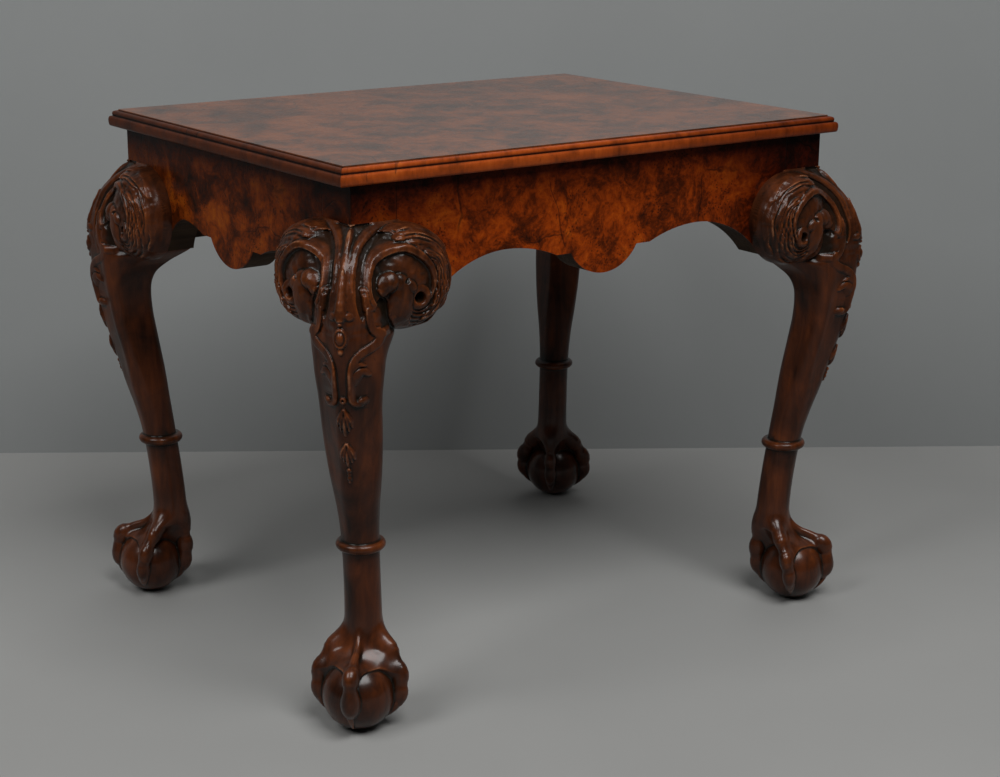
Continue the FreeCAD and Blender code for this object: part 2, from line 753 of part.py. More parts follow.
# Corner blocks: each fits round the post between the two rails, and a screw along the diagonal holds it

block_top = frieze_top - s.block_drop
block_middle = block_top - s.block_height / 2
block_near = s.post_width + s.seat_gap
screw_face = (s.block_reach + rail_inner) / 2


def along_corner(thing, start):
    """Turns an upright shape to point outwards along the diagonal, from its start inside the frieze."""
    outwards = FreeCAD.Rotation(Vector(0, 0, 1), Vector(-1, -1, 0))
    return place(thing, start - corner_x, start - corner_y, block_middle, outwards)


def corner_rod(name, start, radius, length):
    return along_corner(add("Part::Cylinder", name, Radius=radius, Height=length), start)


counterbore = s.screw_head_height + s.overrun / 2
head_seat = screw_face - counterbore / diagonal
corner_head = corner_rod("corner_screw_head", head_seat + s.screw_head_height / diagonal, s.screw_head,
                         s.screw_head_height)
corner_shank = corner_rod("corner_screw_shank", head_seat, s.screw_shank, s.screw_length - s.screw_point)
corner_cone = add("Part::Cone", "corner_screw_point",
                  Radius1=s.screw_shank, Radius2=screw_tip, Height=s.screw_point)
corner_point = along_corner(corner_cone, head_seat - (s.screw_length - s.screw_point) / diagonal)
corner_screw = fuse("corner_screw", [corner_head, corner_shank, corner_point])
corner_bore = corner_rod("corner_bore", head_seat, s.screw_shank + s.screw_room,
                         s.screw_length + s.screw_room)
corner_sink = corner_rod("corner_sink", screw_face + s.overrun, s.screw_head + s.screw_room,
                         s.overrun * diagonal + counterbore)

block_body = doc.addObject("PartDesign::Body", "corner_block_blank")
block_sketch = sketch_in(block_body, "corner_block_outline", "XY_Plane")
polygon(block_sketch, (
    (block_near, rail_inner), (s.block_reach, rail_inner), (rail_inner, s.block_reach),
    (rail_inner, block_near), (block_near, block_near),
))
block_pad = block_body.newObject("PartDesign::Pad", "corner_block_pad")
block_pad.Profile = block_sketch
block_pad.SideType = "Symmetric"
bind(block_pad, Length=s.block_height)
place(block_body, -corner_x, -corner_y, block_middle)
block_way = fuse("block_way", [corner_bore, corner_sink])
corner_block_front_left = cut("corner_block_front_left", block_body, block_way)

floor_reach = s.ball_radius * 2
floor_box = box("floor_box", floor_reach * 2, floor_reach * 2, s.overrun,
                -corner_x - floor_reach, -corner_y - floor_reach, -s.overrun)
leg_solid = fuse("leg_solid", [stem, knee, post, front_drum, left_drum, ring, ball] + talons)
leg_cuts = fuse("leg_cuts", [front_mortise, left_mortise, corner_bore, floor_box])
leg_front_left = cut("leg_front_left", leg_solid, leg_cuts)

# Veneer on the posts, and the rubbed glue blocks

facing_height = frieze_top - knee_top
post_facing_front_left = box("post_facing_front_left", s.post_width, s.facing, facing_height,
                             -corner_x, -corner_y, knee_top)
post_facing_left_front = box("post_facing_left_front", s.facing, s.post_width - s.facing, facing_height,
                             -corner_x, s.facing - corner_y, knee_top)
glue_block_front_left = box("glue_block_front_left",
                            s.glue_block_length, s.glue_block_side, s.glue_block_side,
                            -s.glue_block_run - s.glue_block_length / 2, rail_inner - corner_y,
                            frieze_top - s.glue_block_side)
glue_block_left = box("glue_block_left", s.glue_block_side, s.glue_block_length, s.glue_block_side,
                      rail_inner - corner_x, -s.glue_block_length / 2, frieze_top - s.glue_block_side)
glue_block_right = mirrored("glue_block_right", glue_block_left, across_x)


def four(source, across, along, both):
    """The piece and its three mirror images, named for the sides they come to lie on."""
    other = mirrored(across, source, across_x)
    return [source, other, mirrored(along, source, across_y), mirrored(both, other, across_y)]


legs = four(leg_front_left, "leg_front_right", "leg_back_left", "leg_back_right")
corner_blocks = four(corner_block_front_left, "corner_block_front_right", "corner_block_back_left",
                     "corner_block_back_right")
long_ears = four(ear_front_rail_left, "ear_front_rail_right", "ear_back_rail_left", "ear_back_rail_right")
short_ears = four(ear_left_rail_front, "ear_right_rail_front", "ear_left_rail_back", "ear_right_rail_back")
long_facings = four(post_facing_front_left, "post_facing_front_right", "post_facing_back_left",
                    "post_facing_back_right")
short_facings = four(post_facing_left_front, "post_facing_right_front", "post_facing_left_back",
                     "post_facing_right_back")
glue_blocks = four(glue_block_front_left, "glue_block_front_right", "glue_block_back_left",
                   "glue_block_back_right")
corner_screw_set = four(corner_screw, "corner_screw_front_right", "corner_screw_back_left",
                        "corner_screw_back_right")
corner_screws = group("corner_screws", corner_screw_set)

pieces = [
    top_core, top_veneer, moulding_front, moulding_back, moulding_left, moulding_right,
    rail_front, rail_back, rail_left, rail_right, facing_front, facing_back, facing_left, facing_right,
    *legs, *long_ears, *short_ears, *long_facings, *short_facings, *corner_blocks, *glue_blocks,
    glue_block_left, glue_block_right, top_screws, corner_screws,
]

doc.recompute()
faults = [thing.Name for thing in doc.Objects if "Invalid" in thing.State or "Error" in thing.State]
for piece in pieces:
    if piece.Shape.isNull() or not piece.Shape.isValid():
        faults.append(piece.Label + " shape")
if faults:
    raise RuntimeError("these failed: " + ", ".join(faults))

os.makedirs("parts", exist_ok=True)
for piece in pieces:
    piece.Shape.exportStep(f"parts/{piece.Label}.step")
    bounds = piece.Shape.BoundBox
    print(f"{piece.Label}: {len(piece.Shape.Solids)} solid(s), {piece.Shape.Volume / 1000:.1f} cm3, "
          f"x {bounds.XMin:.1f} {bounds.XMax:.1f} y {bounds.YMin:.1f} {bounds.YMax:.1f} "
          f"z {bounds.ZMin:.1f} {bounds.ZMax:.1f}")
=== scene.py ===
import json
import math

import bmesh
import bpy
import numpy as np
from mathutils import Matrix, Vector


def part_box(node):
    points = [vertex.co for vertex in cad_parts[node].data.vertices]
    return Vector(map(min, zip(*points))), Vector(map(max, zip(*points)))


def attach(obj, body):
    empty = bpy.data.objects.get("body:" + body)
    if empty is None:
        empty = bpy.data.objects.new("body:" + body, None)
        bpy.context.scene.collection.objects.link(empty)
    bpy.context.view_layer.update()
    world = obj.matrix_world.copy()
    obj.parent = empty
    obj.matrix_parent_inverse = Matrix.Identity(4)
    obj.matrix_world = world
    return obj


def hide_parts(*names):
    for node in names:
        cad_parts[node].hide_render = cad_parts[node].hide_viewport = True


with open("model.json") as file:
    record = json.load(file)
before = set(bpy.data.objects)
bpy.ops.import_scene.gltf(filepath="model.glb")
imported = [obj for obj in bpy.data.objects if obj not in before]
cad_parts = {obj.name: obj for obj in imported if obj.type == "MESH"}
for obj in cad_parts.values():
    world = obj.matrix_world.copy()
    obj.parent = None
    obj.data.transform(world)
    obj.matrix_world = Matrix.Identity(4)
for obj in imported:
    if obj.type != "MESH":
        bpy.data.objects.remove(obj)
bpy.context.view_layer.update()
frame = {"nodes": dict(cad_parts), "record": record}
mm = 0.001
root2 = math.sqrt(2)
print("frame loaded:", len(frame["nodes"]), "nodes")

# where the carving hangs: the frieze's corner, read from the frame
friezeX = -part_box("facing_left")[0].x
friezeY = -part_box("facing_front")[0].y
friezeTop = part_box("top_core")[0].z


# finishes
class Tone:
    # a shader socket that does maths: a + b, 1 - a and abs(a) each add a Math node
    def __init__(self, finish, node, output):
        self.finish, self.node = finish, node
        self.socket = node.outputs[output] if len(node.outputs) else None

    def other(self, output):
        return Tone(self.finish, self.node, output)

    def maths(self, operation, first, second=0.0):
        return self.finish.add("ShaderNodeMath", {"operation": operation}, {0: first, 1: second})

    def __add__(self, other):
        return self.maths("ADD", self, other)

    __radd__ = __add__

    def __mul__(self, other):
        return self.maths("MULTIPLY", self, other)

    __rmul__ = __mul__

    def __sub__(self, other):
        return self.maths("SUBTRACT", self, other)

    def __rsub__(self, other):
        return self.maths("SUBTRACT", other, self)

    def __abs__(self):
        return self.maths("ABSOLUTE", self)

    def most(self, other):
        return self.maths("MAXIMUM", self, other)


class Finish:
    # a material, and the one way its nodes are added
    def __init__(self, name):
        self.material = bpy.data.materials.new(name)
        self.material.use_nodes = True
        self.tree = self.material.node_tree
        self.tree.nodes.clear()

    def add(self, kind, settings=None, values=None, output=0):
        node = self.tree.nodes.new(kind)
        for key, value in (settings or {}).items():
            if key == "stops":
                stops = node.color_ramp.elements
                while len(stops) < len(value):
                    stops.new(0.5)
                for stop, (place, colour) in zip(stops, value):
                    stop.position = place
                    stop.color = (*colour, 1)
            else:
                setattr(node, key, value)
        for key, value in (values or {}).items():
            if isinstance(value, Tone):
                self.tree.links.new(value.socket, node.inputs[key])
            else:
                node.inputs[key].default_value = value
        return Tone(self, node, output)

    def place(self, turn=(0, 0, 0)):
        here = self.add("ShaderNodeTexCoord", output="Object")
        return self.add("ShaderNodeMapping", None, {"Vector": here, "Rotation": turn})

    def stretched(self, place, scale):
        return self.add("ShaderNodeMapping", None, {"Vector": place, "Scale": scale})

    def parts(self, place):
        return self.add("ShaderNodeSeparateXYZ", None, {"Vector": place})

    def written(self, name, output="Fac"):
        # what a moulding or a carved piece carries on its points
        return self.add("ShaderNodeAttribute", {"attribute_name": name}, output=output)

    def noise(self, place, scale, detail=4.0, rough=0.55, warp=0.0, output="Fac"):
        return self.add("ShaderNodeTexNoise", None,
                        {"Vector": place, "Scale": scale, "Detail": detail, "Roughness": rough,
                         "Distortion": warp}, output)

    def cells(self, place, feature, scale):
        return self.add("ShaderNodeTexVoronoi", {"feature": feature}, {"Vector": place, "Scale": scale},
                        "Distance")

    def ramp(self, tone, stops):
        return self.add("ShaderNodeValToRGB", {"stops": stops}, {"Fac": tone})

    def span(self, tone, low, high, start=0.0, end=1.0):
        return self.add("ShaderNodeMapRange", {"interpolation_type": "SMOOTHSTEP"},
                        {"Value": tone, "From Min": low, "From Max": high, "To Min": start, "To Max": end})

    def patches(self, place, pattern, reach):
        return self.span(self.noise(place, *pattern), *reach)

    def sway(self, tone, start, end):
        # a noise, which lies mostly between 0.3 and 0.7, spread over two values
        return self.span(tone, 0.3, 0.7, start, end)

    def mix(self, share, first, second, how="MIX"):
        values = {0: share, 6: first, 7: second}
        values = {key: (*value, 1) if isinstance(value, tuple) else value for key, value in values.items()}
        return self.add("ShaderNodeMix", {"data_type": "RGBA", "blend_type": how, "clamp_factor": True},
                        values, 2)

    def polish(self, colour, rough, height, depth, shine, coat=0.0, coatRough=0.3, coatIor=1.33, metal=0.0):
        # the shader itself: bump, varnish and colour
        relief = self.add("ShaderNodeBump", None, {"Height": height, "Strength": 1.0, "Distance": depth})
        shader = self.add("ShaderNodeBsdfPrincipled", None,
                          {"Base Color": colour, "Roughness": rough, "Normal": relief, "Metallic": metal,
                           "Coat Weight": coat, "Coat Roughness": coatRough, "Coat IOR": coatIor,
                           "Specular IOR Level": shine})
        self.add("ShaderNodeOutputMaterial", None, {"Surface": shader})
        return self.material


# In the finishes a pattern is a noise's scale, detail, roughness and warp, a reach is where a mask
# starts and where it is full, and lengths are in metres.
burr = {
    "frieze": {
        "stops": ((0.38, (0.018, 0.0040, 0.0010)), (0.46, (0.088, 0.0125, 0.0012)),
                  (0.53, (0.235, 0.032, 0.0018)), (0.64, (0.420, 0.078, 0.004))),
        # how strongly the painted shade listed further down is laid on
        "shaded": 0.85,
        "varnish": {"depth": 0.0003, "shine": 0.05, "coat": 0.3, "coatRough": 0.16, "coatIor": 1.25},
    },
    "top": {
        "stops": ((0.38, (0.024, 0.008, 0.003)), (0.46, (0.066, 0.019, 0.005)),
                  (0.54, (0.140, 0.036, 0.007)), (0.66, (0.215, 0.060, 0.012))),
        "shaded": 0.0,
        "varnish": {"depth": 0.0003, "shine": 0.35, "coat": 0.72, "coatRough": 0.24, "coatIor": 1.5},
    },
    "swirl": (15.0, 3, 0.5, 0.6), "swirlWidth": 0.035,
    "clouds": (15.0, 4, 0.55, 0.5), "figure": (44.0, 5, 0.62, 0.7), "fine": (242.0, 5, 0.68, 0.4),
    "shares": (0.42, 0.34, 0.24), "rough": (0.34, 0.50),
    "eyeScale": 310.0, "eyeReach": (0.42, 0.14), "eyeGroups": ((30.0, 4, 0.65), (0.48, 0.62)),
    "smoke": ((21.0, 5, 0.7, 0.8), (0.56, 0.68)),
    "crackScale": 9.0, "crackReach": (0.012, 0.003), "crackGroups": ((14.0, 2), (0.50, 0.58)),
    "seamInset": 0.048, "seamReach": (0.0006, 0.0002),
    "dark": (0.012, 0.0035, 0.0014), "eyesDark": 0.85, "smokeDark": 0.55, "cracksDark": 0.6, "seamsDark": 0.7,
    # painted shade: the frieze is darker under the top, where painted shadow and dirt lie, and at its ends,
    # at the right of its front and on the short sides, where less light falls
    "shadowAndDirtUnderTop": (0.452, 0.520), "shadowAndDirtShade": (0.16, 0.12, 0.12),
    "paintedEndShadeReach": (0.35, 0.88), "paintedEndShade": (0.45, 0.40, 0.40),
    "paintedFalloffX": (0.08, 0.27), "paintedFalloffY": (0.0, -0.2), "paintedFalloffShade": (0.42, 0.32, 0.30),
    "paintedSideShadeInset": (0.0016, 0.0008), "paintedSideShade": (0.62, 0.82, 0.90),
}


def burrWalnut(name, look):
    f = Finish(name)
    here = f.place()
    swirl = f.noise(here, *burr["swirl"], "Color")
    warped = f.add("ShaderNodeVectorMath", {"operation": "MULTIPLY_ADD"},
                   {0: swirl, 1: (burr["swirlWidth"],) * 3, 2: here})
    clouds, figure, fine = (f.noise(warped, *burr[key]) for key in ("clouds", "figure", "fine"))
    cloudShare, figureShare, fineShare = burr["shares"]
    colour = f.ramp(clouds * cloudShare + figure * figureShare + fine * fineShare, look["stops"])
    eyes = f.span(f.cells(warped, "F1", burr["eyeScale"]), *burr["eyeReach"])
    eyes = eyes * f.patches(here, *burr["eyeGroups"])
    smoke = f.patches(here, *burr["smoke"])
    cracks = f.span(f.cells(warped, "DISTANCE_TO_EDGE", burr["crackScale"]), *burr["crackReach"])
    cracks = cracks * f.patches(here, *burr["crackGroups"])
    place = f.parts(here)
    outX, outY, up = abs(place.other("X")), abs(place.other("Y")), place.other("Z")
    below = f.span(up, friezeTop, friezeTop - 0.001)
    seams = [f.span(abs(out - (edge - burr["seamInset"])), *burr["seamReach"])
             for out, edge in ((outX, friezeX), (outY, friezeY))]
    seams = seams[0].most(seams[1]) * below
    for mask, depth in ((eyes, "eyesDark"), (smoke, "smokeDark"), (cracks, "cracksDark"),
                        (seams, "seamsDark")):
        colour = f.mix(mask * burr[depth], colour, burr["dark"])
    # painted shade: shadow and dirt under the top, less light at the ends, at the right of the front and on
    # the short sides
    under = f.span(up, *burr["shadowAndDirtUnderTop"])
    ends = f.span(outY * (outX * (1.0 / (friezeX * friezeY))), *burr["paintedEndShadeReach"])
    paintedFalloff = f.span(place.other("X"), *burr["paintedFalloffX"]) * f.span(place.other("Y"), *burr["paintedFalloffY"])
    paintedSideShadeMask = f.span(outX, *(friezeX - inset for inset in burr["paintedSideShadeInset"]))
    for mask, shade in ((under, "shadowAndDirtShade"), (ends, "paintedEndShade"), (paintedFalloff, "paintedFalloffShade"),
                        (paintedSideShadeMask, "paintedSideShade")):
        colour = f.mix(mask * below * look["shaded"], colour, burr[shade], "MULTIPLY")
    height = figure * 0.4 + fine * 0.3 - cracks * 0.4 - seams * 0.6
    return f.polish(colour, f.sway(fine, *burr["rough"]), height, **look["varnish"])


crossGrain = {
    "stops": ((0.34, (0.070, 0.013, 0.0030)), (0.44, (0.165, 0.030, 0.005)),
              (0.53, (0.255, 0.044, 0.006)), (0.68, (0.345, 0.072, 0.010))),
    "stretch": (1, 0.22, 0.22), "bands": (26.0, 5, 0.6, 0.8), "lines": (210.0, 5, 0.7, 0.3),
    "clouds": (22.0, 4, 0.6, 1.2), "shares": (0.20, 0.28, 0.52), "rough": (0.32, 0.48),
    "nicks": ((120.0, 2, 0.5), (0.665, 0.72)), "nickColour": (0.010, 0.004, 0.002), "nickDark": 0.50,
    # the short sides get painted shade; the next line paints shade towards the right of the front
    "wax": (0.08, 0.06, 0.06), "paintedShortSideShade": (0.25, 0.30, 0.45),
    "paintedFalloffX": (-0.05, 0.30), "paintedFalloffY": (0.0, -0.2), "paintedFalloffShade": (0.42, 0.36, 0.34), "paintedFalloffShare": 0.85,
    "varnish": {"depth": 0.0004, "shine": 0.06, "coat": 0.35, "coatRough": 0.18},
}


def crossWalnut(name):
    f = Finish(name)
    lay = f.written("lay", "Vector")
    across = f.stretched(lay, crossGrain["stretch"])
    bands, lines = (f.noise(across, *crossGrain[key]) for key in ("bands", "lines"))
    clouds = f.noise(lay, *crossGrain["clouds"])
    bandShare, lineShare, cloudShare = crossGrain["shares"]
    colour = f.ramp(bands * bandShare + lines * lineShare + clouds * cloudShare, crossGrain["stops"])
    nicks = f.patches(across, *crossGrain["nicks"])
    colour = f.mix(nicks * crossGrain["nickDark"], colour, crossGrain["nickColour"])
    colour = f.mix(f.written("hollow"), colour, crossGrain["wax"], "MULTIPLY")
    # the patterns of the four mouldings lie 3.7 apart; those of the right and left one get painted shade, as
    # less light falls on the short sides
    run = f.parts(lay).other("X")
    short = f.span(run, 5, 6) - f.span(run, 9, 10) + f.span(run, 13, 14)
    colour = f.mix(short, colour, crossGrain["paintedShortSideShade"], "MULTIPLY")
    # painted shade: darker towards the right of the front, where less light falls
    place = f.parts(f.place())
    paintedFalloff = f.span(place.other("X"), *crossGrain["paintedFalloffX"]) * f.span(place.other("Y"), *crossGrain["paintedFalloffY"])
    colour = f.mix(paintedFalloff * crossGrain["paintedFalloffShare"], colour, crossGrain["paintedFalloffShade"], "MULTIPLY")
    return f.polish(colour, f.sway(lines, *crossGrain["rough"]), lines * 0.3 - nicks * 0.4,
                    **crossGrain["varnish"])


carvedWood = {
    "stops": ((0.36, (0.012, 0.0042, 0.002)), (0.48, (0.036, 0.0098, 0.0034)),
              (0.58, (0.064, 0.0160, 0.0044)), (0.70, (0.108, 0.027, 0.0062))),
    "stretch": (1, 1, 0.16), "streaks": (95.0, 5, 0.62, 0.5), "clouds": (17.0, 4, 0.55, 0.8),
    "pores": (420.0, 3, 0.6), "patches": (60.0, 4, 0.6), "rubs": (1500.0, 2, 0.5), "rough": (0.30, 0.44),
    # wax patina in the hollows, with painted shade that makes the deepest recesses near black
    "wax": (0.0062, 0.0048, 0.0030), "waxAndShadeShare": 0.97, "waxAndShadeReach": (0.0, 0.75),
    "worn": (0.200, 0.050, 0.0090), "wornShare": 0.72,
    # pale edge: worn polish with a painted highlight on the sharpest ridges
    "edge": (0.280, 0.140, 0.075), "edgeWearAndGlintShare": 0.36, "edgeWearAndGlintReach": (0.70, 1.0),
    "dirt": ((240.0, 4, 0.7), (0.60, 0.72)), "dirtColour": (0.012, 0.007, 0.005), "dirtShare": 0.45,
    "footReach": (0.125, 0.095),
    "varnish": {"depth": 0.0003, "shine": 0.05, "coatRough": 0.22},
}


def carvedWalnut(name):
    f = Finish(name)
    here = f.place()
    grain = f.stretched(here, carvedWood["stretch"])
    streaks, pores = (f.noise(grain, *carvedWood[key]) for key in ("streaks", "pores"))
    clouds, patches, rubs = (f.noise(here, *carvedWood[key]) for key in ("clouds", "patches", "rubs"))
    colour = f.ramp(streaks * 0.45 + clouds * 0.55, carvedWood["stops"])
    # wax patina in the hollows, and painted shade in the deepest recesses
    wax = f.span(f.written("hollow"), *carvedWood["waxAndShadeReach"]) * f.span(clouds, 0.25, 0.75, 1.0, 0.8)
    colour = f.mix(wax * carvedWood["waxAndShadeShare"], colour, carvedWood["wax"])
    ridge = f.written("ridge")
    worn = ridge * f.span(streaks, 0.30, 0.70, 0.25, 1.0) * f.span(patches, 0.32, 0.66, 0.25, 1.0)
    colour = f.mix(worn * carvedWood["wornShare"], colour, carvedWood["worn"])
    # pale lines on the sharpest ridges: worn polish with a painted highlight
    edge = f.span(ridge, *carvedWood["edgeWearAndGlintReach"]) * f.span(patches, 0.46, 0.62)
    colour = f.mix(edge * carvedWood["edgeWearAndGlintShare"], colour, carvedWood["edge"])
    dirt = f.patches(here, *carvedWood["dirt"])
    colour = f.mix(dirt * carvedWood["dirtShare"], colour, carvedWood["dirtColour"])
    # the feet are rubbed rough under a heavier coat
    foot = f.span(f.parts(here).other("Z"), *carvedWood["footReach"])
    height = streaks * 0.35 + pores * 0.2 + dirt * 0.2 + rubs * (foot * 0.42 + 0.05)
    return f.polish(colour, f.sway(clouds, *carvedWood["rough"]), height, coat=foot * 0.38 + 0.62,
                    **carvedWood["varnish"])


# old, dirty carcass wood, made darker still as painted shade for the parts seen in shadow under the table
innerWood = {
    "stops": ((0.35, (0.010, 0.005, 0.003)), (0.50, (0.026, 0.014, 0.007)), (0.66, (0.048, 0.027, 0.014))),
    "turn": 90, "stretch": (1, 1, 0.08), "grain": (60.0, 6, 0.65, 0.9), "fine": (420.0, 3, 0.6),
    "stains": (7.0, 4, 0.6), "rough": (0.62, 0.80),
    "fibre": (0.034, 0.020, 0.011), "fibreReach": (0.62, 0.74),
    "varnish": {"depth": 0.0006, "shine": 0.15},
}


def plainWood(name):
    f = Finish(name)
    here = f.place((0, math.radians(innerWood["turn"]), 0))
    rings = f.stretched(here, innerWood["stretch"])
    grain, fine = (f.noise(rings, *innerWood[key]) for key in ("grain", "fine"))
    colour = f.ramp(grain * 0.7 + f.noise(here, *innerWood["stains"]) * 0.3, innerWood["stops"])
    colour = f.mix(f.span(fine, *innerWood["fibreReach"]) * 0.6, colour, innerWood["fibre"])
    return f.polish(colour, f.sway(fine, *innerWood["rough"]), grain * 0.5 + fine * 0.4,
                    **innerWood["varnish"])


steel = {
    "stops": ((0.35, (0.20, 0.16, 0.13)), (0.60, (0.47, 0.45, 0.43))),
    "stains": (300.0, 4, 0.6), "lines": (1400.0, 2, 0.6), "rough": (0.55, 0.32),
    "varnish": {"depth": 0.0001, "shine": 0.5, "metal": 1.0},
}


def oldSteel(name):
    f = Finish(name)
    here = f.place()
    stains, lines = (f.noise(here, *steel[key]) for key in ("stains", "lines"))
    return f.polish(f.ramp(stains, steel["stops"]), f.sway(stains, *steel["rough"]), lines,
                    **steel["varnish"])


finishes = {
    "burr_walnut": burrWalnut("frieze_burr_walnut", burr["frieze"]),
    "top_burr": burrWalnut("top_burr_walnut", burr["top"]),
    "moulding_walnut": crossWalnut("cross_grained_walnut"),
    "carved_walnut": carvedWalnut("dark_carved_walnut"),
    "carcass_wood": plainWood("planed_carcass_wood"),
    "screw_steel": oldSteel("old_screw_steel"),
}
slotOf = {entry["node"]: entry["material_slot"] for entry in frame["record"]["subparts"]}
for name, node in frame["nodes"].items():
    node.data.materials.clear()
    key = "top_burr" if name == "top_veneer" else slotOf[name]
    node.data.materials.append(finishes[key])
print("finishes laid on the CAD nodes")


def placed(name, data):
    thing = bpy.data.objects.new(name, data)
    bpy.context.collection.objects.link(thing)
    return thing


# edge mouldings, in mm
moulding = {
    # inset from the outer face and height over the frieze, round the profile
    "line": (
        (14.0, 0.0), (1.6, 0.0), (0.9, 0.5), (0.35, 2.0), (0.05, 4.5), (0.0, 6.3), (0.25, 8.2), (0.9, 9.7),
        (1.9, 10.35), (3.2, 10.5), (3.45, 10.9), (3.30, 11.6), (3.15, 12.9), (3.35, 14.2), (4.1, 15.2),
        (5.4, 15.8), (6.5, 16.05), (6.95, 15.75), (7.35, 15.45), (7.8, 15.45), (8.2, 15.7), (8.2, 16.5),
        (14.0, 16.5),
    ),
    "step": 2.5, "dent": 0.16, "dentScale": 45.0, "apart": 3.7, "sharp": 42,
    # where old polish and dirt sit: inset with its reach, then height with its reach
    "hollows": (((3.3, 1.9), (11.0, 1.5)), ((7.5, 0.9), (15.6, 1.4))), "dirt": 1.8,
}


def mouldingTree():
    tree = bpy.data.node_groups.new("edge_moulding", "GeometryNodeTree")
    face = tree.interface
    face.new_socket("Profile", in_out="INPUT", socket_type="NodeSocketGeometry")
    for name in ("Length", "Edge", "Seat", "Turn", "Step", "Dent", "Seed"):
        face.new_socket(name, in_out="INPUT", socket_type="NodeSocketFloat")
    face.new_socket("Finish", in_out="INPUT", socket_type="NodeSocketMaterial")
    face.new_socket("Moulding", in_out="OUTPUT", socket_type="NodeSocketGeometry")

    def add(kind, settings=None, values=None):
        node = tree.nodes.new(kind)
        for key, value in (settings or {}).items():
            setattr(node, key, value)
        for key, value in (values or {}).items():
            if isinstance(value, bpy.types.NodeSocket):
                tree.links.new(value, node.inputs[key])
            else:
                node.inputs[key].default_value = value
        return node

    def maths(operation, first, second=0.0):
        return add("ShaderNodeMath", {"operation": operation}, {0: first, 1: second}).outputs[0]

    def point(**values):
        return add("ShaderNodeCombineXYZ", None, values).outputs[0]

    def near(socket, middle, reach):
        gap = maths("ABSOLUTE", maths("SUBTRACT", socket, middle * mm))
        return maths("SUBTRACT", 1.0, maths("MINIMUM", 1.0, maths("DIVIDE", gap, reach * mm)))

    given = add("NodeGroupInput").outputs
    half = maths("MULTIPLY", given["Length"], 0.5)
    run = add("GeometryNodeCurvePrimitiveLine", None,
              {"Start": point(X=maths("MULTIPLY", half, -1.0)), "End": point(X=half)})
    stepped = add("GeometryNodeResampleCurve", {"mode": "LENGTH"},
                  {"Curve": run.outputs[0], "Length": given["Step"]})
    swept = add("GeometryNodeCurveToMesh", None,
                {"Curve": stepped.outputs[0], "Profile Curve": given["Profile"], "Fill Caps": True})
    # mitre: every point's x shrinks by its inset, in proportion along the length
    along, inset, height = add("ShaderNodeSeparateXYZ", None,
                               {0: add("GeometryNodeInputPosition").outputs[0]}).outputs
    shrunk = maths("SUBTRACT", along, maths("MULTIPLY", maths("DIVIDE", along, half), inset))
    lay = point(X=maths("ADD", along, given["Seed"]), Y=inset, Z=height)
    kept = add("GeometryNodeStoreNamedAttribute", {"data_type": "FLOAT_VECTOR", "domain": "POINT"},
               {"Geometry": swept.outputs[0], "Name": "lay", "Value": lay})
    # old polish and dirt sit in the quirk and beside the bead
    spots = [maths("MULTIPLY", near(inset, *across), near(height, *up)) for across, up in moulding["hollows"]]
    dirt = maths("MINIMUM", 1.0, maths("MULTIPLY", maths("ADD", *spots), moulding["dirt"]))
    dirty = add("GeometryNodeStoreNamedAttribute", {"data_type": "FLOAT", "domain": "POINT"},
                {"Geometry": kept.outputs[0], "Name": "hollow", "Value": dirt})
    worn = add("ShaderNodeTexNoise", {"noise_dimensions": "3D"},
               {"Vector": lay, "Scale": moulding["dentScale"], "Detail": 3.0})
    rub = maths("ABSOLUTE", maths("MULTIPLY", maths("SUBTRACT", worn.outputs[0], 0.5), given["Dent"]))
    moved = point(X=shrunk, Y=maths("SUBTRACT", maths("ADD", inset, rub), given["Edge"]),
                  Z=maths("ADD", height, given["Seat"]))
    seated = add("GeometryNodeSetPosition", None, {"Geometry": dirty.outputs[0], "Position": moved})
    turned = add("GeometryNodeTransform", None,
                 {"Geometry": seated.outputs[0], "Rotation": point(Z=given["Turn"])})
    real = add("GeometryNodeRealizeInstances", None, {"Geometry": turned.outputs[0]})
    done = add("GeometryNodeSetMaterial", None, {"Geometry": real.outputs[0], "Material": given["Finish"]})
    add("NodeGroupOutput", None, {0: done.outputs[0]})
    return tree


def settle(piece, node):
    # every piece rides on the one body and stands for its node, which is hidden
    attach(piece, "root")
    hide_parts(node)


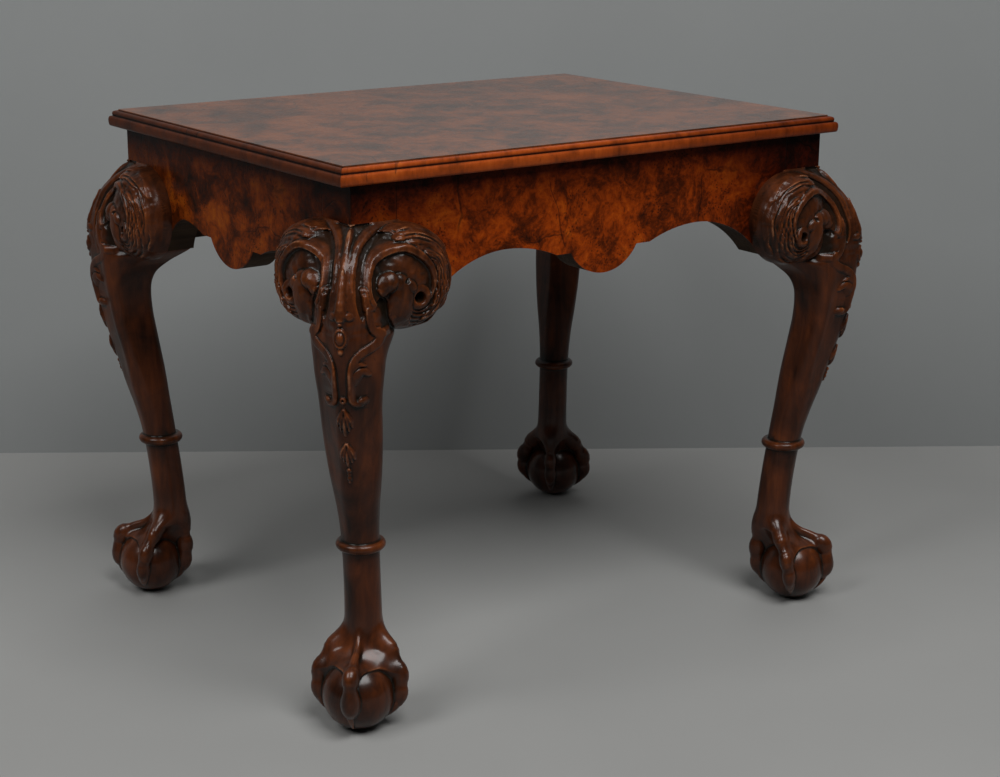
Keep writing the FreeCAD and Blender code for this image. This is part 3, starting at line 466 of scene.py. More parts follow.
def makeMouldings():
    tree = mouldingTree()
    sockets = {item.name: item.identifier for item in tree.interface.items_tree if item.item_type == "SOCKET"}
    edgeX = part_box("moulding_right")[1].x
    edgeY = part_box("moulding_back")[1].y
    sides = (("front", edgeX * 2, edgeY, 0), ("right", edgeY * 2, edgeX, 90),
             ("back", edgeX * 2, edgeY, 180), ("left", edgeY * 2, edgeX, 270))
    for count, (side, length, edge, turn) in enumerate(sides):
        curve = bpy.data.curves.new(f"profile_{side}", "CURVE")
        curve.dimensions = "3D"
        line = curve.splines.new("POLY")
        line.points.add(len(moulding["line"]) - 1)
        for point, (inset, height) in zip(line.points, moulding["line"]):
            point.co = (-inset * mm, -height * mm, 0, 1)  # a swept profile comes out half turned
        line.use_cyclic_u = True
        seed = placed(f"profile_{side}", curve)
        sweep = seed.modifiers.new("sweep", "NODES")
        sweep.node_group = tree
        for name, value in (("Length", length), ("Edge", edge), ("Seat", friezeTop),
                            ("Turn", math.radians(turn)), ("Step", moulding["step"] * mm),
                            ("Dent", moulding["dent"] * mm), ("Seed", moulding["apart"] * (count + 1)),
                            ("Finish", finishes["moulding_walnut"])):
            sweep[sockets[name]] = value
        bpy.context.view_layer.update()
        graph = bpy.context.evaluated_depsgraph_get()
        mesh = bpy.data.meshes.new_from_object(seed.evaluated_get(graph), depsgraph=graph)
        bpy.data.objects.remove(seed)
        made = bmesh.new()
        made.from_mesh(mesh)
        bmesh.ops.remove_doubles(made, verts=made.verts, dist=1e-6)
        bmesh.ops.recalc_face_normals(made, faces=made.faces)
        made.to_mesh(mesh)
        made.free()
        mesh.name = f"edge_moulding_{side}"
        mesh.shade_smooth()
        mesh.set_sharp_from_angle(angle=math.radians(moulding["sharp"]))
        settle(placed(f"edge_moulding_{side}", mesh), f"moulding_{side}")
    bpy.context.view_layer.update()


makeMouldings()


# carving of the legs
# In the carving's own millimetres: p out from the frieze's short side, q out from its long side,
# both from the frieze's corner, and z up from the floor. A leg is the same on both sides of p = q.
leg = {
    "cell": 0.8, "gridFrom": -99.0, "gridTo": 38.6, "billet": 37.6,
    "footBox": (-62, 40, -5, 112), "legBox": (-99, 40, 88, 486), "postBox": (-53, 2, 395, friezeTop / mm + 2),
    "postWidth": 48.0, "postInner": -50.5, "postFoot": 397.5, "facing": 1.5, "ledge": 483.0,
    "scrollRadius": 48.5, "scrollMiddle": 433.0, "scrollFoot": 380, "scrollInner": -3.0, "scrollJoin": 3.0,
    "ringHeight": 178.0, "ringBack": 22.6, "ringRadius": 18.9, "ringRound": 4.6, "ringJoin": 1.4,
    "ballRadius": 34.5, "ballBack": 6.0, "ballMiddle": 34.0, "footJoin": (92, 110),
    # where the carving of the scrolls' faces and of the knee's edge starts and is full
    "faceNear": (-38, -23), "faceFar": (12, 19), "faceUp": (385, 392),
    "edgeOut": (-2.0, 14.0), "edgeNear": (-26, -18),
    # a piece of 200,000 triangles or more is thinned in the export
    "mostFaces": 190000,  # the leg is thinned to fewer triangles than this
}
# height, outer side, inner side and corner radius of the leg's squared section, the knee included
legSections = np.array((
    (40, 12.5, -34.0, 23.0), (58, 13.8, -39.6, 24.1), (68, 11.6, -43.2, 24.7), (78, 5.0, -43.4, 21.8),
    (89, -2.3, -40.5, 18.4), (103, -3.7, -39.1, 17.0), (124, -3.1, -37.7, 16.6), (149, -1.4, -35.7, 16.3),
    (176, 1.1, -33.2, 16.0), (197, 4.1, -31.2, 15.9), (218, 8.6, -29.2, 16.1), (238, 13.7, -27.2, 16.3),
    (258, 18.0, -24.6, 15.8), (280, 22.9, -21.5, 15.1), (300, 27.3, -19.1, 14.8), (317, 30.1, -17.0, 14.1),
    (334, 32.4, -16.0, 13.6), (351, 35.0, -16.3, 13.3), (365, 36.3, -19.7, 12.9), (376, 37.0, -28.3, 13.1),
    (386, 37.2, -42.4, 12.0), (393, 36.7, -50.5, 10.6), (406, 36.2, -50.5, 10.6), (421, 34.1, -50.5, 9.6),
    (436, 29.8, -50.5, 8.6), (453, 22.8, -50.5, 7.2), (468, 12.6, -50.5, 4.8), (483, 0.3, -50.5, 1.0),
    (495, -8.0, -50.5, 1.0),
))
# radii of the section's other corners, and how far its side rolls in to the scroll, with the heights
# over which they come and go
rounding = {
    "sharp": 10.8, "sharpFrom": (215, 285),
    "knee": 17.0, "kneeFrom": (352, 384), "kneeTo": (392, 410),
    "inner": 2.0, "innerFrom": (376, 392),
    "roll": 26.0, "rollNear": -1.0, "rollReach": 40.0, "rollFrom": (340, 378), "rollTo": (425, 460),
}
# distance from the scroll's middle and how far its face stands out from the frieze
scrollFace = np.array(((0, 35.0), (9, 34.8), (20, 33.0), (27, 31.2), (35, 27.8), (41.5, 21.6), (45, 17.6),
                       (47.4, 14.0), (48.5, 10.0), (49.0, 0.0)))
# the same distance, and how much of a step outwards from the sloping face there is true distance
scrollSlope = np.array(((0, 1.0), (20, 0.97), (35, 0.82), (45, 0.62), (48.5, 0.45)))


def ease(value, low, high):
    share = np.clip((value - low) / (high - low), 0, 1)
    return share * share * (3 - 2 * share)


def hump(away, half):
    return np.clip(1 - (away / half) ** 2, 0, 1)


def blend(first, second, reach):
    share = np.clip(0.5 + 0.5 * (second - first) / reach, 0, 1)
    return second + (first - second) * share - reach * share * (1 - share)


def flowing(points, closed=False, rounds=2):
    # corners cut off a drawn line, so that it flows
    line = np.array(points, float)
    for _ in range(rounds):
        after = np.roll(line, -1, 0) if closed else line[1:]
        before = line if closed else line[:-1]
        cut = np.stack((before * 0.75 + after * 0.25, before * 0.25 + after * 0.75), 1)
        cut = cut.reshape(-1, line.shape[1])
        line = cut if closed else np.vstack((line[:1], cut, line[-1:]))
    return line


def fromLine(u, v, line):
    # distance from a drawn line, and the share of its length at the nearest place
    best = np.full(u.shape, 1e9)
    share = np.zeros(u.shape)
    spans = np.hypot(*(line[1:] - line[:-1]).T)
    total, run = spans.sum(), 0.0
    for (u0, v0), (u1, v1), span in zip(line[:-1], line[1:], spans):
        if span == 0:
            continue
        at = np.clip(((u - u0) * (u1 - u0) + (v - v0) * (v1 - v0)) / span ** 2, 0, 1)
        gap = np.hypot(u - u0 - at * (u1 - u0), v - v0 - at * (v1 - v0))
        near = gap < best
        best = np.where(near, gap, best)
        share = np.where(near, (run + at * span) / total, share)
        run += span
    return best, share


def within(u, v, outline):
    # distance from a closed outline, more than nothing inside it
    gap, _ = fromLine(u, v, np.vstack((outline, outline[:1])))
    inside = np.zeros(u.shape, bool)
    for (u0, v0), (u1, v1) in zip(outline, np.roll(outline, -1, 0)):
        if v0 != v1:
            inside ^= ((v0 > v) != (v1 > v)) & (u < (u1 - u0) * (v - v0) / (v1 - v0) + u0)
    return np.where(inside, gap, -gap)


def strap(u, v, points, halves, heights):
    # a raised band with a rounded top, its half width and height given from its start to its end
    gap, share = fromLine(u, v, flowing(points))
    half, height = (np.interp(share, np.linspace(0, 1, len(given)), given) for given in (halves, heights))
    return height * np.sqrt(hump(gap, half))


def dome(u, v, middle, halves, height, turn=0.0):
    c, s = math.cos(math.radians(turn)), math.sin(math.radians(turn))
    a, b = u - middle[0], v - middle[1]
    reach = ((a * c + b * s) / halves[0]) ** 2 + ((b * c - a * s) / halves[1]) ** 2
    return height * np.sqrt(np.clip(1 - reach, 0, 1))


def patchy(a, b, seed):
    # smooth random values, one unit apart
    grid = np.random.default_rng(seed).random((64, 64))
    i, j = np.floor(a).astype(int), np.floor(b).astype(int)
    x, y = ease(a - i, 0, 1), ease(b - j, 0, 1)
    i, j = i % 64, j % 64
    i1, j1 = (i + 1) % 64, (j + 1) % 64
    near = grid[i, j] * (1 - x) + grid[i1, j] * x
    return near * (1 - y) + (grid[i, j1] * (1 - x) + grid[i1, j1] * x) * y


def unevenness(a, b, seed, height):
    return height * (patchy(a, b, seed) - 0.5)


def strands(a, b, seed):
    return 1 - np.abs(2 * patchy(a, b, seed) - 1)


def laid(relief, raised, depth=0.0):
    # a raised part laid over the ground, which stays as deep as it was beside it
    return np.where(raised > 0.02, np.maximum(relief, raised - depth), relief)


# Lines of the carving on a scroll: u away from the knee and v up, both from the scroll's middle.
# A band is its line, half widths and heights; a lobe is its middle, half lengths, height and turn.
scroll = {
    "hoodOuter": ((-49.8, -17.0), (-52.8, -10.5), (-53.0, -1.1), (-51.2, 7.3), (-46.9, 17.0), (-39.9, 24.9),
                  (-29.6, 31.4), (-18.5, 34.4), (-10.0, 34.6), (-2.9, 32.3), (7.7, 25.4), (15.7, 16.6),
                  (20.2, 7), (20.9, -2.2), (18.3, -11.1), (12, -22), (0, -30), (-20, -34), (-38, -32)),
    "hoodInner": ((-38.0, -22.0), (-45.5, -14.4), (-48.2, -4.8), (-46.9, 2.8), (-42.6, 12.2), (-36.0, 19.2),
                  (-27.5, 24.8), (-18.5, 27.4), (-11.0, 27.2), (-4.3, 24.5), (5, 18.4), (11.7, 11),
                  (15.4, 2.6), (16.3, -6.6), (13, -15.6), (0, -28), (-20, -32), (-34, -30)),
    "hoodHeight": 2.8, "hollowDepth": 1.7,
    "hook": (((-55, -3), (-54.2, -11), (-51.6, -17.4), (-47.6, -18.6), (-44.6, -16.2)),
             (3.6, 3.4, 2.8, 2.2), (3.4, 3.0, 2.4, 1.6)),
    "lobes": (((-29.5, 0.8), (11.2, 9.0), 6.4, 38), ((-33.6, -4.6), (7.0, 6.4), 4.8, -30),
              ((-18.5, 1.5), (9.0, 7.0), 4.6, -20), ((-9.0, -3.5), (8.5, 5.6), 3.9, -35)),
    "body": (((-18, -2), (-16.5, -14), (-17.0, -24), (-15, -34), (-8, -43)),
             (8.5, 11.6, 12.0, 10.0, 6.0), (4.8, 5.4, 5.6, 5.6, 4.0)),
    "pit": ((-12.8, 1.6), (3.1, 2.4), 2.6, 30),
    "bossSunk": 0.6,
    "eye": (2.5, -15.5), "eyeRing": 7.8, "eyeRingHalf": 3.8, "eyeHole": (1.8, 5.9), "eyeDepth": 9.0,
    # ridges round the eye: radius, half width and height, and how fast they wind out
    "ridges": ((14.6, 1.7, 1.6), (18.4, 1.8, 1.6), (22.4, 1.9, 1.5), (26.4, 2.0, 1.3), (30.6, 2.0, 1.1)),
    "ridgeTurn": 0.95, "ridgeWind": 1.9,
    "strap": (((-66.8, -3.0), (-65.6, 6.0), (-62.4, 15.4), (-57.8, 23.3), (-51.5, 30.6), (-42.9, 37.4),
               (-32.4, 42.8), (-21.7, 46.8), (-12, 49)),
              (1.6, 2.5, 2.7, 2.5, 2.2), (1.4, 2.0, 2.3, 2.2, 1.2)),
    "channel": ((-60, -30), (-64.0, -20), (-65.0, -10), (-63.4, -2), (-61.8, 5.2), (-59.2, 13.4),
                (-55.2, 21.2), (-49.4, 28.0), (-41, 34.9), (-31, 40), (-21, 43.4), (-16.2, 43.8),
                (-15.0, 40.2), (-17.6, 37.8), (-17.2, 36.0), (-22, 34.8), (-29.8, 32.2), (-40.2, 25.8),
                (-47.2, 18.0), (-51.6, 8.0), (-53.6, -1.0), (-54.2, -11.5), (-55.6, -24)),
    "wedge": ((-71, 10), (-67, 16), (-63.4, 22), (-55.4, 31.4), (-44.8, 39), (-33.8, 44.8), (-24, 48.5),
              (-32, 50.5), (-46, 50), (-58, 46), (-67, 36), (-72.5, 22)),
    "channelDepth": 3.4, "wedgeDepth": 2.4,
    "bark": ((-21.0, 52.0), (-16.2, 46.5), (-14.0, 43.0), (-15.0, 40.4), (-17.9, 38.6), (-17.0, 36.4),
             (-12.5, 35.6), (-2.9, 32.3), (7.7, 25.4), (15.7, 16.6), (20.2, 7), (20.9, -2.2), (19.3, -11.1),
             (17.0, -22.0), (8.0, -33.0), (2.0, -50.0), (30, -60), (62, -30), (62, 30), (30, 60), (0, 62)),
    "barkHeight": 3.0, "barkGround": 0.4, "barkRim": (46.6, 48.4),
    "crease": ((-35.5, -11), (-29.4, -14.5), (-29.0, -22), (-28.4, -30), (-24.2, -37), (-17.5, -42.5),
               (-9, -48)),
    "creaseSide": ((-36, -10), (-29.5, -13.5), (-29.2, -22), (-28.6, -30), (-24.4, -37), (-17.7, -42.5),
                   (-9, -48), (-12, -60), (-60, -60), (-60, -34), (-50, -22), (-42, -14)),
    "creaseDepth": 3.2,
    "tail": (((-54.9, -8), (-54.8, -20), (-51.5, -31), (-47.5, -38), (-42.5, -37.5)),
             (2.9, 2.6, 2.4, 2.2), (2.6, 2.0, 1.8, 1.5)),
}


def scrollCarving(u, v):
    outer = within(u, v, flowing(scroll["hoodOuter"], True))
    inner = within(u, v, flowing(scroll["hoodInner"], True))
    acrossEye, overEye = u - scroll["eye"][0], v - scroll["eye"][1]
    fromEye, turn = np.hypot(acrossEye, overEye), np.arctan2(overEye, acrossEye)
    # the hood: a smooth band, highest just inside its outer edge, open at the foot
    footOpen = ease(v + 0.35 * np.abs(u + 18), -16, -4)
    band = ease(outer, -0.4, 1.5) * (1 - 0.22 * ease(outer, 2, 7)) * (1 - ease(inner, -0.9, 0.9))
    relief = scroll["hoodHeight"] * band * footOpen
    # its hollow: deepest under the band, then rising to the boss
    hollow = ease(inner, -0.3, 1.6) * (1 - 0.75 * ease(inner, 3, 15)) * footOpen
    relief = relief - scroll["hollowDepth"] * hollow
    relief = laid(relief, strap(u, v, *scroll["hook"]))
    # boss: a shining lobe, a body that runs down, a waist and the deep eye in its ring
    ring = 0.8 + 3.0 * ease(np.cos(turn + 0.75), -0.6, 0.7)
    boss = np.maximum.reduce((
        *(dome(u, v, *lobe) for lobe in scroll["lobes"]), strap(u, v, *scroll["body"]),
        ring * np.sqrt(hump(fromEye - scroll["eyeRing"], scroll["eyeRingHalf"])),
    ))
    relief = laid(relief, boss, scroll["bossSunk"]) - dome(u, v, *scroll["pit"])
    # ridges that wind round the eye
    lower = ease(np.cos(turn + scroll["ridgeTurn"]), -0.35, 0.45)
    away = fromEye - scroll["ridgeWind"] * (turn + scroll["ridgeTurn"])
    ridges = sum(height * hump(away - radius, half) for radius, half, height in scroll["ridges"])
    relief = relief + ridges * lower * ease(fromEye, 12.0, 13.2) * (1 - ease(boss, 2.0, 4.0))
    relief = relief - scroll["eyeDepth"] * (1 - ease(fromEye, *scroll["eyeHole"]))
    # bark: wavy grooves that run with the rim, its inner edge ragged
    reach, along = np.hypot(u, v), np.arctan2(v, u) * 38
    sway = patchy(along / 21, reach / 10, 4) * 4.2 + patchy(along / 10, reach / 5, 5) * 1.0
    grooves = 0.7 * strands(along / 44, (reach + sway) / 2.3, 6) ** 1.4
    grooves = grooves + 0.3 * strands(along / 24, (reach + sway) / 1.5, 7)
    broken = patchy(along / 17, reach / 4.5, 8)
    bark = within(u, v, np.array(scroll["bark"])) + 1.8 * (patchy(along / 3.5, reach / 3.5, 9) - 0.5)
    edge = ease(bark, -0.3, 0.7)
    grooves = scroll["barkGround"] + scroll["barkHeight"] * grooves * ease(broken, 0.0, 0.4)
    relief = relief + edge * grooves * (1 - ease(reach, *scroll["barkRim"]))
    # strap over the knee, and the sunk channels on both sides of it
    channel = within(u, v, flowing(scroll["channel"], True, 1))
    wedge = within(u, v, flowing(scroll["wedge"], True, 1))
    sunk = np.maximum(scroll["channelDepth"] * ease(channel, -0.3, 2.0),
                      scroll["wedgeDepth"] * ease(wedge, -0.3, 2.2)) * (1 - edge)
    relief = np.where(outer < 0.4, laid(relief - sunk, strap(u, v, *scroll["strap"]), 0.4), relief)
    # crease between the body and the leg's side
    crease, _ = fromLine(u, v, flowing(scroll["crease"]))
    side = within(u, v, flowing(scroll["creaseSide"], True, 1))
    relief = relief - scroll["creaseDepth"] * ease(side, -0.6, 0.8) * (1 - ease(crease, 4.0, 18.0))
    # thin band from the hood's foot down to the ball at its end, and the hand's own unevenness
    hand = unevenness(u / 6.5, v / 6.5, 11, 0.9) + unevenness(u / 2.6, v / 2.6, 12, 0.45)
    return laid(relief, strap(u, v, *scroll["tail"])) + hand


# lines of the carving on the knee's edge: s across from the diagonal and z up from the floor
knee = {
    # heights and half widths of the spine
    "spine": ((404, 408, 412, 418, 432, 450, 470, 484), (1.6, 4.4, 6.6, 4.9, 3.7, 3.3, 3.1, 3.6)),
    "spineHeight": 3.0, "spineFoot": (404.5, 407.5), "spineLeaf": ((7.4, 410.6), (4.4, 3.2), 2.6, -35),
    "bands": (
        # a fine band beside the spine, near its top
        (((5.4, 452), (6.6, 463), (8.6, 472), (11.5, 480)), (0.8, 1.1, 1.2), (0.6, 1.1, 0.9)),
        # straps that come down from the knee's side and scroll to the bracket
        (((22.4, 414), (22.6, 404.4), (25.0, 394.9), (29.5, 390.0)), (2.4, 2.6, 2.6, 2.4), (2.0, 2.3, 2.0)),
        (((31.6, 390.5), (29.8, 384.5), (24.2, 379.9), (16.0, 376.0), (10.2, 369.0), (7.8, 360.6),
          (7.6, 348.4), (7.2, 336), (8.8, 330.8), (13.4, 328.4), (17.2, 330.8)),
         (3.0, 3.7, 3.7, 3.3, 2.9, 2.7, 2.8, 3.0, 2.9, 3.0), (1.9, 2.3, 2.4, 2.3, 2.1, 2.0, 2.0, 1.9, 1.8)),
        # a ribbed leaf beside the strap
        (((10.4, 349.0), (12.6, 357.5), (17.0, 360.0), (21.6, 355.5)), (1.8, 4.2, 4.0, 1.4),
         (1.1, 2.1, 1.8, 0.8)),
        (((10.0, 361.5), (13.8, 366.6), (18.4, 364.6)), (1.4, 2.4, 1.2), (1.3, 1.9, 1.0)),
    ),
    # a bead, the oval and the boss under it, and the balls at the straps' ends
    "lobes": (((0, 404.3), (2.1, 2.0), 2.2), ((0, 391.6), (4.1, 6.4), 2.8), ((0, 379.6), (2.6, 3.4), 1.3),
              ((32.0, 391.6), (4.6, 4.6), 3.0), ((16.0, 331.6), (4.0, 3.8), 2.3)),
    "frameMiddle": 391.6, "frameHalves": (6.2, 9.2), "frameRing": (0.83, 0.19), "frameHeight": 1.7,
    "button": ((0, 333.4), (3.3, 3.6), 1.7), "buttonHole": ((0, 333.6), (1.3, 1.5), 1.6),
    # top, length and half width of each husk, then how far out and down its two pairs of petals go
    "husks": ((326.0, 28.0, 6.6), (291.5, 25.0, 6.2)), "petals": ((1.0, 0.66), (0.55, 0.80)),
    "petalHalves": (0.9, 1.7, 1.9, 0.7), "petalHeights": (1.2, 1.9, 1.9, 0.9), "huskHeart": 2.3,
    "beads": ((262.6, 2.1), (258.6, 1.7), (254.6, 2.2), (250.6, 1.2)), "beadHeight": 1.5,
    "raised": 1.45, "groundDepth": 1.1,
}


def kneeCarving(s, z):
    spine = knee["spineHeight"] * np.sqrt(hump(s, np.interp(z, *knee["spine"]))) * ease(z, *knee["spineFoot"])
    relief = laid(spine, dome(s, z, *knee["spineLeaf"]))
    ring, ringHalf = knee["frameRing"]
    halfWide, halfHigh = knee["frameHalves"]
    frameAt = np.hypot(s / halfWide, (z - knee["frameMiddle"]) / halfHigh)
    raised = [knee["frameHeight"] * np.sqrt(hump(frameAt - ring, ringHalf)),
              dome(s, z, *knee["button"]) - dome(s, z, *knee["buttonHole"])]
    raised += [strap(s, z, *band) for band in knee["bands"]]
    raised += [dome(s, z, *lobe) for lobe in knee["lobes"]]
    for top, fall, wide in knee["husks"]:
        for out, drop in knee["petals"]:
            petal = ((0.6, top - 1), (wide * out * 0.42, top - fall * 0.20),
                     (wide * out * 0.86, top - fall * drop * 0.62), (wide * out, top - fall * drop))
            raised.append(strap(s, z, petal, knee["petalHalves"], knee["petalHeights"]))
        raised.append(dome(s, z, (0, top - fall * 0.60), (2.0, fall * 0.40), knee["huskHeart"]))
    for height, size in knee["beads"]:
        raised.append(dome(s, z, (0, height), (size, size * 1.25), knee["beadHeight"]))
    carved = np.maximum.reduce(raised)
    # the ground is sunk a little round the bands
    ground = knee["groundDepth"] * (1 - ease(s, 22, 32)) * ease(z, 244, 262) * (1 - ease(z, 396, 404))
    hand = unevenness(s / 5.5, z / 6.5, 13, 0.8) + unevenness(s / 2.4, z / 2.8, 14, 0.4)
    hand = hand * ease(carved + relief, 0.0, 0.8)
    return laid(laid(-ground + 0 * s, relief), carved * knee["raised"], 0.3) + hand


# foot: forward along the diagonal, out to the side and up from the ball's middle, and thickness, in mm
foot = {
    "front": ((-9.5, 0, 60, 3.4), (-3.0, 0, 50.0, 3.6), (6.0, 0, 43.0, 3.8), (16.0, 0, 39.2, 4.6),
              (25.0, 0, 34.2, 5.8), (32.2, 0, 28.6, 11.2), (35.4, 0, 20.0, 7.2), (35.2, 0, 11.8, 9.4),
              (33.8, 0, 3.0, 12.4), (33.2, 0, -3.0, 8.8)),
    "side": ((-22.8, 7.6, 54.5, 6.0), (-15.5, 25.0, 42.4, 10.6), (-10.4, 32.6, 30.4, 5.8),
             (-6.9, 37.9, 19.8, 10.2), (-4.1, 38.4, 9.8, 7.2), (-3.1, 38.2, 0.8, 9.6),
             (-2.1, 36.6, -7.6, 5.6)),
    "back": ((-31.7, 0, 58.6, 6.4), (-37.5, 0, 43.6, 10.2), (-38.6, 0, 32.0, 5.8), (-39.7, 0, 21.0, 9.8),
             (-38.8, 0, 11.0, 7.2), (-38.0, 0, 1.0, 9.2), (-35.4, 0, -7.0, 5.6)),
    "frontNail": ((37.0, 0, -6.0, 3.2), (35.0, 0, -12.5, 2.4), (31.0, 0, -19.0, 1.7), (25.0, 0, -25.5, 0.8)),
    "sideNail": ((-2.1, 36.4, -7.0, 4.8), (-1.4, 34.6, -12.0, 4.0), (-1.0, 31.0, -17.0, 2.6),
                 (-0.6, 27.0, -21.5, 1.1)),
    "backNail": ((-35.0, 0, -6.0, 4.8), (-33.6, 0, -11.5, 4.0), (-30.4, 0, -17.0, 2.6),
                 (-26.6, 0, -21.5, 1.1)),
    "ankle": ((-24.3, 0, 72, 16.8), (-24.0, 0, 58, 16.4), (-21.0, 0, 46, 15.6), (-15.0, 0, 34, 15.0)),
    # each talon's thin direction and how softly the web joins it
    "talons": (("front", "s", 3.4), ("side", "f", 12.0), ("back", "s", 12.0)),
    "narrow": 1.22, "nailNarrow": 0.80, "ankleJoin": 17.0, "ankleTop": (66, 98), "grip": 1.2,
    "skin": 1.2, "archFoot": 12, "archRise": 42, "softened": 2,
    # the webs' arched edges and their sheets, in degrees round the ball from the front: where the back
    # one starts, then the middle and half width of the front one and of the back one
    "arches": (94, (48, 43), (138, 41)), "sheets": (96, (46, 50), (139, 42)),
}


def alongBones(f, s, h, bones, narrow, across):
    # nearest distance to a chain of tapering limbs; narrow thins them across
    best = np.full(f.shape, 1e3, np.float32)
    bones = flowing(bones)
    for (f0, s0, h0, r0), (f1, s1, h1, r1) in zip(bones[:-1], bones[1:]):
        df, ds, dh = f1 - f0, s1 - s0, h1 - h0
        at = np.clip(((f - f0) * df + (s - s0) * ds + (h - h0) * dh) / (df * df + ds * ds + dh * dh), 0, 1)
        gf, gs, gh = f - f0 - at * df, s - s0 - at * ds, h - h0 - at * dh
        if across == "s":
            gs = gs * narrow
        else:
            gf = gf * narrow
        best = np.minimum(best, np.sqrt(gf * gf + gs * gs + gh * gh) - (r0 + (r1 - r0) * at))
    return best


def soften(grid, cells):
    # mean over a small box round each place, by running sums along each axis
    for axis in range(3):
        width = 2 * cells + 1
        pad = [(0, 0)] * 3
        pad[axis] = (cells + 1, cells)
        total = np.cumsum(np.pad(grid, pad, mode="edge"), axis=axis, dtype=np.float32)
        first = [slice(None)] * 3
        last = [slice(None)] * 3
        first[axis] = slice(0, grid.shape[axis])
        last[axis] = slice(width, width + grid.shape[axis])
        grid = (total[tuple(last)] - total[tuple(first)]) / width
    return grid


def footShape(p, q, z, billet):
    # ball, four talons with their nails, and the webs between them
    f = (p + q) / root2 + leg["ballBack"]
    s = np.abs(p - q) / root2
    h = z - leg["ballMiddle"]
    radius = np.sqrt(f * f + s * s + h * h)
    azimuth = np.degrees(np.arctan2(s, f))
    rise = np.degrees(np.arcsin(np.clip(h / np.maximum(radius, 1e-3), -1, 1)))

    def fromWeb(split, front, back):
        # 0 in the middle of the front or back web and 1 at its ends
        first, second = (np.abs(azimuth - middle) / half for middle, half in (front, back))
        return np.clip(np.where(azimuth < split, first, second), 0, 1)

    # webs: a thin skin on the ball that sweeps up into the ankle and out to the talons
    arch = foot["archFoot"] + foot["archRise"] * np.sqrt(1 - fromWeb(*foot["arches"]) ** 3.0)
    # the skin hangs between the talons like a sheet, low in the middle
    lift = ease(rise, 12, 60) * (1 - ease(rise, 52, 88)) * (0.5 + 7.5 * fromWeb(*foot["sheets"]) ** 2)
    skin = radius - leg["ballRadius"] - foot["skin"] - lift
    grown = ease(z, *foot["ankleTop"])
    ankle = alongBones(f, s, h, foot["ankle"], 1.0, "s") * (1 - grown) + billet * grown
    web = blend(skin, ankle, foot["ankleJoin"])
    talons = []
    for name, across, join in foot["talons"]:
        talon = alongBones(f, s, h, foot[name], foot["narrow"], across)
        web = blend(web, talon, join)
        talons += [talon, alongBones(f, s, h, foot[name + "Nail"], foot["nailNarrow"], across)]
    web = soften(soften(web, foot["softened"]), foot["softened"])
    web = np.maximum(web, (arch - rise) * (math.pi / 180) * leg["ballRadius"])
    return np.minimum(blend(radius - leg["ballRadius"], np.minimum.reduce(talons), foot["grip"]), web)


def smoothSections():
    # the sections on every millimetre, with the steps between them eased
    heights = np.arange(legSections[0, 0], legSections[-1, 0] + 1)
    kernel = np.exp(-0.5 * (np.arange(-15, 16) / 4.5) ** 2)
    kernel /= kernel.sum()
    columns = []
    for column in legSections.T[1:]:
        fine = np.interp(heights, legSections[:, 0], column)
        padded = np.concatenate((2 * fine[0] - fine[15:0:-1], fine, 2 * fine[-1] - fine[-2:-17:-1]))
        columns.append(np.convolve(padded, kernel, "valid"))
    return heights, columns


sectionHeights, sectionColumns = smoothSections()


def billetShape(p, q, z):
    # the leg's squared section: its outer corner has one radius, the others have their own
    outer, inner, corner = (np.interp(z, sectionHeights, column) for column in sectionColumns)
    near, far = np.minimum(p, q), np.maximum(p, q)
    rolled = ease(z, *rounding["rollFrom"]) * (1 - ease(z, *rounding["rollTo"]))
    inwards = np.clip((rounding["rollNear"] - near) / rounding["rollReach"], 0, 1)
    far = far + rounding["roll"] * inwards ** 2 * rolled
    middle, half = (outer + inner) / 2, (outer - inner) / 2
    sharp = corner - (corner - rounding["sharp"]) * ease(z, *rounding["sharpFrom"])
    ended = ease(z, *rounding["kneeTo"])
    beside = sharp + (rounding["knee"] - sharp) * ease(z, *rounding["kneeFrom"]) * (1 - ended)
    beside = beside + (corner - beside) * ended
    inside = sharp + (rounding["inner"] - sharp) * ease(z, *rounding["innerFrom"])
    radius = np.where(near > middle, corner, np.where(far > middle, beside, inside))
    a, b = np.abs(near - middle) - half + radius, np.abs(far - middle) - half + radius
    return np.hypot(np.maximum(a, 0), np.maximum(b, 0)) + np.minimum(np.maximum(a, b), 0) - radius


def collar(p, q, z):
    back = leg["ringBack"] / root2
    away = np.hypot(p + back, q + back) - leg["ringRadius"]
    return np.hypot(away, z - leg["ringHeight"]) - leg["ringRound"]


def scrollDrum(p, q, z):
    # the round scrolls on both sides of the knee, before they are carved
    near, far = np.minimum(p, q), np.maximum(p, q)
    reach = np.hypot(near + leg["postWidth"], z - leg["scrollMiddle"])
    face, slope = (np.interp(reach, *table.T) for table in (scrollFace, scrollSlope))
    drum = np.maximum((far - face) * slope, reach - leg["scrollRadius"])
    return np.maximum(drum, leg["scrollInner"] - far)


def postShape(p, q, z):
    inner, side = leg["postInner"], -leg["facing"]
    low = np.maximum(inner - p, inner - q)
    high = np.maximum(p - side, q - side)
    return np.maximum(np.maximum(low, high), np.maximum(leg["postFoot"] - z, z - friezeTop / mm))


